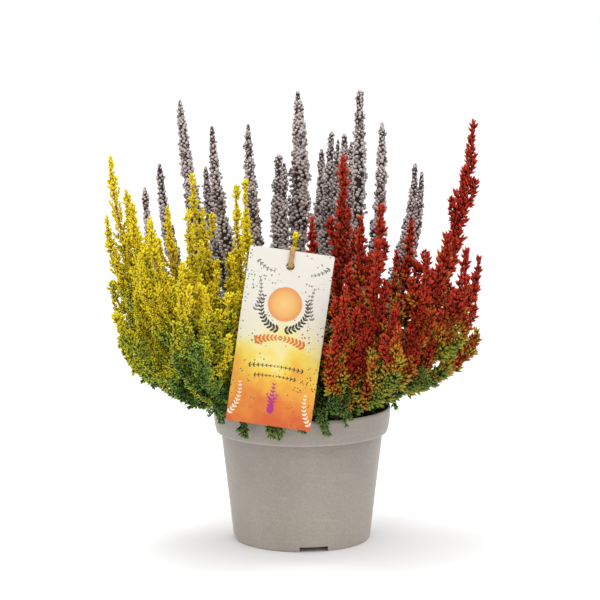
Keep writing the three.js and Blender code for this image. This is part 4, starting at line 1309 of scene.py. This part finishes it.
def print_tree():
    """Printed sprigs: a fine stalk along each line with pairs of flat leaves, laid on the card's plane."""
    tree, given, result = new_tree(
        "Printed sprig", lines=("Geometry", None), pitch=("Float", 2.6), stalk=("Float", 0.2),
        ink_height=("Float", 0.12), finish=("Material", None))
    curve = add(tree, "GeometryNodeMeshToCurve", mesh=given.lines)
    curve = add(tree, "GeometryNodeCurveSplineType", {"spline_type": "CATMULL_ROM"}, curve=curve)
    size = add(tree, "GeometryNodeInputNamedAttribute", {"data_type": "FLOAT"}, name="leaf")
    ring = add(tree, "GeometryNodeCurvePrimitiveCircle", resolution=PRINT_STALK_SIDES, radius=given.stalk)
    stalk = add(tree, "GeometryNodeCurveToMesh", curve=curve, profile_curve=ring, fill_caps=True)
    points = add(tree, "GeometryNodeCurveToPoints", {"mode": "LENGTH"}, curve=curve, length=given.pitch)
    joined = add(tree, "GeometryNodeJoinGeometry", geometry=stalk)
    segments, rings = PRINT_LEAF_FACES
    for side in (-1, 1):
        leaf = add(tree, "GeometryNodeMeshUVSphere", segments=segments, rings=rings, radius=0.5)
        leaf = add(
            tree, "GeometryNodeTransform", geometry=leaf, translation=(0, 0, 0.5),
            scale=(PRINT_LEAF_SLIMNESS, 1, 1))
        along = add(
            tree, "FunctionNodeAlignRotationToVector", {"axis": "Z", "pivot_axis": "Y"},
            vector=out(points, "Tangent"))
        turn = add(tree, "FunctionNodeEulerToRotation", euler=(0, side * PRINT_LEAF_SPREAD, 0))
        turned = add(
            tree, "FunctionNodeRotateRotation", {"rotation_space": "LOCAL"}, rotation=along, rotate_by=turn)
        feed(tree, joined, add(
            tree, "GeometryNodeInstanceOnPoints", points=points, instance=leaf, rotation=turned,
            scale=add(tree, "ShaderNodeCombineXYZ", x=size, y=size, z=size)))
    solid = add(tree, "GeometryNodeRealizeInstances", geometry=joined)
    solid = add(tree, "GeometryNodeSetMaterial", geometry=solid, material=given.finish)
    flat = add(tree, "ShaderNodeCombineXYZ", x=1, y=given.ink_height, z=1)
    feed(tree, result, add(tree, "GeometryNodeTransform", geometry=solid, scale=flat))
    return tree


def print_material(name, settings):
    """Flat printing inks on the card, from olive grey to cream by each sprig's own ink value."""
    material, tree, shader = new_material(name, roughness=0.5)
    ink = out(add(tree, "ShaderNodeAttribute", {"attribute_name": "ink"}), "Fac")
    inks = add(tree, "ShaderNodeValToRGB", fac=ink)
    inks.color_ramp.interpolation = "CONSTANT"
    set_stops(inks, settings, "ink_")
    feed(tree, shader, base_color=inks)
    return material


def make_print(settings):
    """Leaf sprigs printed on the card, as a thin relief of ink."""
    points, edges, leaf, ink = [], [], [], []
    for across, up, radius, start, end, size, name in PRINT_SPRIGS:
        for k in range(PRINT_STEPS + 1):
            t = k / PRINT_STEPS
            angle = math.radians(start + (end - start) * t)
            points.append((across + radius * math.cos(angle), 0, up + radius * math.sin(angle)))
            leaf.append(size * (1 - PRINT_LEAF_SHRINK * t))
            ink.append(PRINT_INKS[name])
            if k:
                edges.append((len(points) - 2, len(points) - 1))
    mesh = bpy.data.meshes.new("print_lines")
    mesh.from_pydata(points, edges, [])
    for key, values in (("leaf", leaf), ("ink", ink)):
        mesh.attributes.new(key, "FLOAT", "POINT").data.foreach_set("value", values)
    piece = grown("tag_print", mesh, print_tree(), finish=print_material("Printed sprigs", settings))
    piece.data.transform(Matrix.Scale(MM, 4) @ tag_frame() @ Matrix.Translation((0, -TAG_THICKNESS / 2, 0)))
    return placed(piece, "tag_card")


# The tie's edges are rounded, and its UV repeats every few sections
TIE_ROUNDING = 0.3
TIE_ROUND_STEPS = 2
TIE_UV_STEPS = 8


def make_tie(settings):
    """The flat fibre band that goes through the tag's hole and round a stem behind it."""
    bm = bmesh.new()
    place = Matrix.Scale(MM, 4) @ tag_frame()
    section = rounded_box(TIE_WIDTH, TIE_THICKNESS, TIE_ROUNDING, TIE_ROUND_STEPS)
    rings = []
    for point, wide, thick in tie_frames(settings.steps):
        rings.append([bm.verts.new(place @ Vector(point + wide * p.x + thick * p.y)) for p in section])
    spots = bm.loops.layers.uv.new("UVMap")
    for step, ring in enumerate(rings):
        after = rings[(step + 1) % len(rings)]
        for k in range(len(section)):
            n = (k + 1) % len(section)
            face = bm.faces.new((ring[k], ring[n], after[n], after[k]))
            for corner, (i, j) in zip(face.loops, ((k, 0), (k + 1, 0), (k + 1, 1), (k, 1))):
                corner[spots].uv = (i / len(section), (step + j) / TIE_UV_STEPS)
    tie = finished("fibre_tie", bm, SHARP_FIBRE)
    tie.data.materials.append(fibre_material("Tan fibre", settings))
    return placed(tie, "tie_fibre", "tag_band")


def grow_plant(plant, settings):
    """Each stem of a plant is one piece in the place of its solid."""
    bark = bark_material(f"{plant['slot']} bark", settings)
    leaves = leaf_material(f"{plant['slot']} leaves", settings)
    buds = bud_material("Silver buds", settings) if plant is SILVER else leaves
    for index, stem in enumerate(all_stems()):
        if stem["plant"] is not plant:
            continue
        lines = lines_mesh(stem["name"], dressed_lines(stem, index))
        piece = grown(
            f"fine_{stem['name']}", lines, heather_tree(), settings, bark=bark, leaves=leaves, buds=buds,
            seed=index)
        placed(piece, plant["slot"], stem["name"])


# Low shoots rise from a round of peat and lean out near the rim. A habit is the reach at the tip,
# its growth down the shoot and its most, and the number of leafless points at the foot
LOW_CIRCLE = 56
LOW_HEIGHT = 26
LOW_HEIGHT_SPREAD = 20
LOW_LEAN = 22
LOW_LEAN_CURVE = 1.6
LOW_SAG = 0.3
LOW_POINTS = 7
LOW_HABIT = (3, 0.2, 7, 1)
LOW_AGE = 30
LOW_SEED = 7

# Rim shoots hang over the pot's rim, as shares of their way with the way out and the height there. Most
# stand at the front, where they run farther, hang lower and sweep aside from under the card. Every second
# one away from the front is left out, and so are the last of the round
RIM_SHOOTS = 56
RIM_TURN = 0.2
RIM_FRONT = math.radians(-115)
RIM_FRONT_WIDTH = 4
RIM_FRONT_LEAST = 0.3
RIM_BARE = math.radians(305)
RIM_SHARES = (0, 0.4, 0.7, 1)
RIM_RUN = np.array([44, 60, 67, 69])
RIM_RUN_FRONT = np.array([0, 0, 2, 4])
RIM_OVER = POT_HEIGHT + 6
RIM_DROP = 3
RIM_DROP_TONE = 0.5
RIM_DROP_FRONT = 7
RIM_SWEEP = 14
RIM_POINTS = 9
RIM_HABIT = (4, 0.12, 6, 2)


def low_shoot(line, index, habit, age=0):
    """A low shoot with its values from point to point, in a list, or none where the card is in its way."""
    if not clear_of_card(line[2:]):
        return []
    tip_reach, spread, full_reach, bare = habit
    way = travelled(line)
    reach = np.minimum(full_reach, tip_reach + spread * (way[-1] - way))
    reach[:bare] = 0
    return [thin_line(line, reach, index, age)]


def low_lines(count):
    """Short shoots that rise from the peat all round, and others that hang over the rim."""
    lines = []
    for i in range(count):
        angle = i * GOLDEN_ANGLE
        away = np.array([math.cos(angle), math.sin(angle), 0])
        radius = LOW_CIRCLE * math.sqrt((i + 0.5) / count)
        root = np.array([radius * math.cos(angle), radius * math.sin(angle), SOIL_TOP])
        lean = (radius / LOW_CIRCLE) ** 2
        height = LOW_HEIGHT + LOW_HEIGHT_SPREAD * (i * GOLDEN_STEP % 1)
        t = np.linspace(0, 1, LOW_POINTS)[:, None]
        line = root + away * lean * LOW_LEAN * t ** LOW_LEAN_CURVE
        line += np.array([0, 0, 1]) * height * (t - LOW_SAG * lean * t * t)
        lines += low_shoot(line, i, LOW_HABIT, LOW_AGE)
    for i in range(RIM_SHOOTS):
        angle = i * 2 * math.pi / RIM_SHOOTS + RIM_TURN * tone(i)
        away = np.array([math.cos(angle), math.sin(angle), 0])
        aside = np.array([-math.sin(angle), math.cos(angle), 0])
        front = max(0, math.cos(angle - RIM_FRONT)) ** RIM_FRONT_WIDTH
        if i % 2 and front < RIM_FRONT_LEAST or angle > RIM_BARE:
            continue
        drop = RIM_DROP * (tone(3 * i) + RIM_DROP_TONE) + RIM_DROP_FRONT * front
        t = np.linspace(0, 1, RIM_POINTS)
        rise = np.interp(t, RIM_SHARES, (SOIL_TOP, RIM_OVER, RIM_OVER, POT_HEIGHT - drop))[:, None]
        run = np.interp(t, RIM_SHARES, RIM_RUN + front * RIM_RUN_FRONT)[:, None]
        line = away * run + np.array([0, 0, 1]) * rise + aside * RIM_SWEEP * front * t[:, None] ** 2
        lines += low_shoot(line, i, RIM_HABIT)
    return lines


def make_low_shoots(settings):
    """The low shoots as one piece."""
    piece = grown(
        "low_shoots", lines_mesh("low_shoots", low_lines(settings.count)), heather_tree(), settings,
        bark=bark_material("Low shoot bark", settings), leaves=leaf_material("Low shoot leaves", settings),
        seed=LOW_SEED)
    return placed(piece, "green_shoot")


# Settings, one group for each kind of piece


def colour(name, code, description):
    """A colour setting with an sRGB hex value as its default."""
    return FloatVectorProperty(
        name=name, subtype="COLOR", size=3, min=0, max=1, default=linear(code), description=description)


def length(name, millimetres, description):
    """A length setting with its default in millimetres."""
    return FloatProperty(
        name=name, unit="LENGTH", subtype="DISTANCE", min=0, default=millimetres * MM, precision=5,
        description=description)


def angle(name, radians, description):
    """An angle setting with its default in radians."""
    return FloatProperty(
        name=name, unit="ROTATION", subtype="ANGLE", default=radians, description=description)


def fraction(name, share, description):
    """A setting from 0 to 1."""
    return FloatProperty(
        name=name, subtype="FACTOR", min=0, max=1, default=share, precision=3, description=description)


def amount(name, value, description, **unit_of):
    """A setting with no upper limit, and perhaps a unit."""
    return FloatProperty(name=name, min=0, default=value, description=description, **unit_of)


def ramp(key, name, first, last, stops):
    """Colour settings along a ramp, each with its place in hundredths from the first to the last end."""
    return {
        f"{key}_{place}": colour(
            f"{name} {place}", code, f"{name} {place}% of the way from {first} to {last}")
        for place, code in stops.items()
    }


# The settings that every plant has, each with its kind, name and description
SHOOT_SETTINGS = {
    "shoot_pitch": (length, "Shoot pitch", "Way along a stem from one side shoot to the next"),
    "leaf_length": (length, "Leaf length", "Length of a scale leaf"),
    "leaf_width": (length, "Leaf width", "Width of a scale leaf"),
    "leafiness": (fraction, "Leafiness", "Leaves on a side shoot, as a share of the most"),
    "splay": (angle, "Leaf splay", "Turn of a leaf away from its side shoot"),
    "tip_tilt": (angle, "Tip tilt", "Turn of a side shoot away from its stem near the tip"),
    "low_tilt": (angle, "Low tilt", "Turn of a side shoot away from its stem low down"),
    "ageing": (fraction, "Low ageing", "How much older leaves look near the pot"),
    "mixture": (fraction, "Mixture", "How much neighbouring twigs differ in ripeness"),
}


def plant_settings(sizes, outer, inner, bark):
    """A plant's own sizes, in the order above, and its colours: leaves in the light, leaves in painted shade
    and bark."""
    settings = {
        key: kind(name, size, description)
        for (key, (kind, name, description)), size in zip(SHOOT_SETTINGS.items(), sizes)
    }
    settings |= ramp("outer", "Lit leaf", "young", "old", outer)
    settings |= ramp("inner", "Shaded leaf", "young", "old", inner)
    return settings | ramp("bark", "Bark", "old", "young", dict(zip((10, 60), bark)))


SPRIG_LIT = {0: "bcc654", 30: "8fac48", 100: "74984a"}
SPRIG_SHADED = {0: "4f6a28", 100: "2c4218"}
BROWN_BARK = ("3a2a1e", "a0622e")


class HeatherPotSettings(bpy.types.PropertyGroup):
    """The pot and its peat"""

    sectors: IntProperty(name="Sectors", default=96, min=24, description="Faces round the pot's wall")
    plastic: colour("Plastic", "a2998f", "Taupe of the moulded plastic")
    plastic_shade: colour("Plastic shade", "9a9187", "Slightly darker clouds in the plastic")
    roughness: fraction("Roughness", 0.45, "Satin skin of the plastic")
    crumb: length("Crumb", 1.0, "Size of a peat crumb")
    unevenness: length("Unevenness", 1.4, "Rise and fall of the peat's surface")
    peat_40: colour("Peat", "150e0a", "Moist crumbs of the peat")
    peat_66: colour("Peat fibre", "4a3222", "Brown fibres in the peat")


class HeatherTagSettings(bpy.types.PropertyGroup):
    """The card tag, its print and its tie"""

    __annotations__ = {
        **ramp("wash", "Wash", "the foot", "the top", {
            0: "cf5d26", 10: "dc7a2c", 19: "e69a36", 28: "edbb3e", 37: "f0d358", 45: "efe08e",
            55: "ebe5c8", 70: "e9e5db"}),
        **ramp("splash", "Splash", "the left", "the right", {35: "5d7a34", 50: "c9a036", 65: "8e2c1c"}),
        **ramp("disc", "Disc", "the middle", "the edge", {
            0: "f4c873", 60: "eeb04f", 90: "e88a34", 100: "dd6f28"}),
        **ramp("ink", "Sprig ink", "the first", "the last", {
            0: "77776a", 20: "39332a", 40: "d9701f", 60: "b01c7c", 80: "f3e3c4"}),
    }
    steps: IntProperty(name="Tie steps", default=112, min=14, description="Sections along the tie band")
    fibre: colour("Fibre", "bd9868", "Tan of the tie fibre")
    fibre_shade: colour("Fibre shade", "a87c48", "Darker strands of the tie fibre")


class HeatherSilverSettings(bpy.types.PropertyGroup):
    """The silver bud spikes"""

    __annotations__ = {
        # The bark at each spike's heart and the foot of each bud are near-black, partly their own colour and
        # partly painted shade between the buds
        **plant_settings(
            (2.7, 3.6, 1.7, 0.9, math.radians(42), math.radians(52), math.radians(66), 0.75, 0.2),
            {0: "a3aa92", 50: "86936a", 100: "67794a"}, {0: "4c513e", 100: "2c351d"}, ("2e221e", "382a2a")),
        **ramp("bud", "Bud", "its foot", "its tip", {5: "2c2022", 35: "786a6c", 62: "d2c6c3"}),
    }
    bud_pitch: length("Bud pitch", 0.26, "Way along a spike from one bud to the next where it is widest")
    bud_size: length("Bud size", 2.75, "Width of a closed bud")


class HeatherYellowSettings(bpy.types.PropertyGroup):
    """The yellow plumes"""

    __annotations__ = plant_settings(
        (1.8, 3.7, 2.3, 0.95, math.radians(42), math.radians(32), math.radians(48), 0.72, 0.26),
        {0: "fff236", 30: "ffec22", 50: "f8ea30", 70: "d6e24e", 85: "a0c858", 100: "5a8236"},
        {0: "ecca1c", 30: "a49212", 55: "526c18", 100: "1e3c14"}, BROWN_BARK)


class HeatherRedSettings(bpy.types.PropertyGroup):
    """The red plumes"""

    __annotations__ = plant_settings(
        (1.8, 6.2, 2.7, 0.66, math.radians(30), math.radians(32), math.radians(48), 0.62, 0.3),
        {0: "de4a26", 14: "ca2e14", 28: "dc4418", 44: "ee8428", 60: "ecbe3c", 80: "b0bc44", 100: "72963e"},
        {0: "7a100c", 30: "560e0a", 50: "7a3a0c", 74: "3e4c12", 100: "1c3010"}, BROWN_BARK)


class HeatherSprigSettings(bpy.types.PropertyGroup):
    """The low green sprigs"""

    __annotations__ = plant_settings(
        (1.8, 4.8, 2.1, 0.6, math.radians(46), math.radians(32), math.radians(48), 0.75, 0.2),
        SPRIG_LIT, SPRIG_SHADED, BROWN_BARK)


class HeatherLowShootSettings(bpy.types.PropertyGroup):
    """The short shoots over the peat"""

    __annotations__ = plant_settings(
        (2.4, 3.6, 1.9, 0.85, 0.7, 0.5, 0.8, 0.75, 0.2), SPRIG_LIT, SPRIG_SHADED, ("3a2a1e", "6a4a30"))
    count: IntProperty(name="Count", default=60, min=0, description="Number of short shoots over the peat")


class HeatherStageSettings(bpy.types.PropertyGroup):
    """The surroundings and the lights"""

    horizon: amount("Horizon", 0.5, "Brightness of the walls round the part")
    zenith: amount("Zenith", 1.45, "Brightness of the ceiling over the part")
    key: amount("Key light", 4.6, "Power of the overhead light", unit="POWER")
    fill: amount("Front light", 0.95, "Power of the front light", unit="POWER")
    wide: amount("Wide light", 0.35, "Even light from above")


# The stage, in metres. Lights turn to the middle of the plant. The camera stands a little above the rim
# and looks down by its pitch
FLOOR_SIZE = 6
FLOOR_COLOUR = (0.97, 0.97, 0.98, 1)
PLANT_MIDDLE = (0, 0, 0.15)
KEY_SIZE = 0.6
KEY_PLACE = (-0.2, 0.15, 1.3)
FILL_SIZE = 0.8
FILL_PLACE = (0.5, -1.6, 0.7)
WIDE_ANGLE = math.radians(90)
CAMERA_PLACE = (-0.0014, -1.8, 0.4496)
CAMERA_PITCH = 8.64
CAMERA_LENS = 150
CAMERA_SENSOR = 36
CAMERA_CLIP = 0.05


def area_light(name, size, power, place):
    """A round lamp at a place that is turned to the middle of the plant."""
    lamp = bpy.data.lights.new(name, "AREA")
    lamp.shape = "DISK"
    lamp.size = size
    lamp.energy = power
    light = bpy.data.objects.new(name, lamp)
    light.location = place
    light.rotation_euler = (Vector(place) - Vector(PLANT_MIDDLE)).to_track_quat("Z", "Y").to_euler()
    bpy.context.scene.collection.objects.link(light)
    return light


def set_stage(scene, settings):
    """White sweep, broad overhead light, front fill and a long lens a little above the pot's rim."""
    bm = bmesh.new()
    bmesh.ops.create_grid(bm, x_segments=1, y_segments=1, size=FLOOR_SIZE)
    floor = finished("floor", bm)
    floor.data.materials.append(new_material("White floor", base_color=FLOOR_COLOUR, roughness=0.9)[0])
    scene.world = bpy.data.worlds.new("White surroundings")
    scene.world.use_nodes = True
    sky = scene.world.node_tree
    way = out(add(sky, "ShaderNodeTexCoord"), "Generated")
    height = out(add(sky, "ShaderNodeSeparateXYZ", vector=way), "Z")
    overhead = add(sky, "ShaderNodeMapRange", value=height, to_min=settings.horizon, to_max=settings.zenith)
    seen = out(add(sky, "ShaderNodeLightPath"), "Is Camera Ray")
    strength = add(sky, "ShaderNodeMix", {"data_type": "FLOAT"}, factor=seen, a=overhead, b=1)
    feed(sky, sky.nodes["Background"], color=WHITE, strength=strength)
    key = area_light("overhead_light", KEY_SIZE, settings.key, KEY_PLACE)
    fill = area_light("front_light", FILL_SIZE, settings.fill, FILL_PLACE)
    lamp = bpy.data.lights.new("wide_light", "SUN")
    lamp.energy = settings.wide
    lamp.angle = WIDE_ANGLE
    wide = bpy.data.objects.new("wide_light", lamp)
    scene.collection.objects.link(wide)
    lens = bpy.data.cameras.new("camera")
    lens.lens = CAMERA_LENS
    lens.sensor_width = CAMERA_SENSOR
    lens.clip_start = CAMERA_CLIP
    camera = bpy.data.objects.new("camera", lens)
    camera.location = CAMERA_PLACE
    camera.rotation_euler = (math.radians(90 - CAMERA_PITCH), 0, 0)
    scene.collection.objects.link(camera)
    scene.camera = camera
    scene.view_settings.view_transform = "Standard"


# Operators, one for each piece or group of like pieces and one for the stage


class HEATHER_OT_make_pot(bpy.types.Operator):
    """Make the moulded pot"""

    bl_idname = "heather.make_pot"
    bl_label = "Pot"

    def execute(self, context):
        make_pot(context.scene.heather_pot)
        return {"FINISHED"}


class HEATHER_OT_make_peat(bpy.types.Operator):
    """Make the peat with its crumbs"""

    bl_idname = "heather.make_peat"
    bl_label = "Peat"

    def execute(self, context):
        make_peat(context.scene.heather_pot)
        return {"FINISHED"}


class HEATHER_OT_make_tag(bpy.types.Operator):
    """Make the printed card tag"""

    bl_idname = "heather.make_tag"
    bl_label = "Card tag"

    def execute(self, context):
        make_tag(context.scene.heather_tag)
        make_print(context.scene.heather_tag)
        return {"FINISHED"}


class HEATHER_OT_make_tie(bpy.types.Operator):
    """Make the fibre band that holds the tag"""

    bl_idname = "heather.make_tie"
    bl_label = "Tie band"

    def execute(self, context):
        make_tie(context.scene.heather_tag)
        return {"FINISHED"}


class HEATHER_OT_grow_silver(bpy.types.Operator):
    """Grow the silver bud spikes at the back"""

    bl_idname = "heather.grow_silver"
    bl_label = "Silver spikes"

    def execute(self, context):
        grow_plant(SILVER, context.scene.heather_silver)
        return {"FINISHED"}


class HEATHER_OT_grow_yellow(bpy.types.Operator):
    """Grow the yellow plumes on the left"""

    bl_idname = "heather.grow_yellow"
    bl_label = "Yellow plumes"

    def execute(self, context):
        grow_plant(YELLOW, context.scene.heather_yellow)
        return {"FINISHED"}


class HEATHER_OT_grow_red(bpy.types.Operator):
    """Grow the red plumes on the right"""

    bl_idname = "heather.grow_red"
    bl_label = "Red plumes"

    def execute(self, context):
        grow_plant(RED, context.scene.heather_red)
        return {"FINISHED"}


class HEATHER_OT_grow_sprigs(bpy.types.Operator):
    """Grow the low green sprigs that lie over the rim"""

    bl_idname = "heather.grow_sprigs"
    bl_label = "Green sprigs"

    def execute(self, context):
        grow_plant(SPRIG, context.scene.heather_sprigs)
        return {"FINISHED"}


class HEATHER_OT_grow_low_shoots(bpy.types.Operator):
    """Grow the short shoots that hide the peat between the stems"""

    bl_idname = "heather.grow_low_shoots"
    bl_label = "Low shoots"

    def execute(self, context):
        make_low_shoots(context.scene.heather_low_shoots)
        return {"FINISHED"}


class HEATHER_OT_set_stage(bpy.types.Operator):
    """Set the white floor, the lights, the surroundings and the camera"""

    bl_idname = "heather.set_stage"
    bl_label = "Stage"

    def execute(self, context):
        set_stage(context.scene, context.scene.heather_stage)
        return {"FINISHED"}


SETTINGS = {
    "heather_pot": HeatherPotSettings,
    "heather_tag": HeatherTagSettings,
    "heather_silver": HeatherSilverSettings,
    "heather_yellow": HeatherYellowSettings,
    "heather_red": HeatherRedSettings,
    "heather_sprigs": HeatherSprigSettings,
    "heather_low_shoots": HeatherLowShootSettings,
    "heather_stage": HeatherStageSettings,
}
OPERATORS = (
    HEATHER_OT_make_pot, HEATHER_OT_make_peat, HEATHER_OT_make_tag, HEATHER_OT_make_tie,
    HEATHER_OT_grow_silver, HEATHER_OT_grow_yellow, HEATHER_OT_grow_red, HEATHER_OT_grow_sprigs,
    HEATHER_OT_grow_low_shoots, HEATHER_OT_set_stage,
)


class HEATHER_PT_pieces(bpy.types.Panel):
    """The operators in their order, and the settings under them"""

    bl_idname = "HEATHER_PT_pieces"
    bl_label = "Heather trio"
    bl_space_type = "VIEW_3D"
    bl_region_type = "UI"
    bl_category = "Heather"

    def draw(self, context):
        for operator in OPERATORS:
            self.layout.operator(operator.bl_idname)
        for name, group in SETTINGS.items():
            box = self.layout.box()
            box.label(text=group.__doc__)
            for key in group.__annotations__:
                box.prop(getattr(context.scene, name), key)


def register():
    """Register the classes and give the scene its settings."""
    for cls in (*SETTINGS.values(), *OPERATORS, HEATHER_PT_pieces):
        bpy.utils.register_class(cls)
    for name, group in SETTINGS.items():
        setattr(bpy.types.Scene, name, PointerProperty(type=group))


def unregister():
    """Take the settings and the classes away again."""
    for name in SETTINGS:
        delattr(bpy.types.Scene, name)
    for cls in (HEATHER_PT_pieces, *reversed(OPERATORS), *reversed(SETTINGS.values())):
        bpy.utils.unregister_class(cls)


def main():
    """Make every piece and the stage in order."""
    register()
    bpy.ops.heather.make_pot()
    bpy.ops.heather.make_peat()
    bpy.ops.heather.make_tag()
    bpy.ops.heather.make_tie()
    bpy.ops.heather.grow_silver()
    bpy.ops.heather.grow_yellow()
    bpy.ops.heather.grow_red()
    bpy.ops.heather.grow_sprigs()
    bpy.ops.heather.grow_low_shoots()
    bpy.ops.heather.set_stage()


if __name__ == "__main__":
    main()
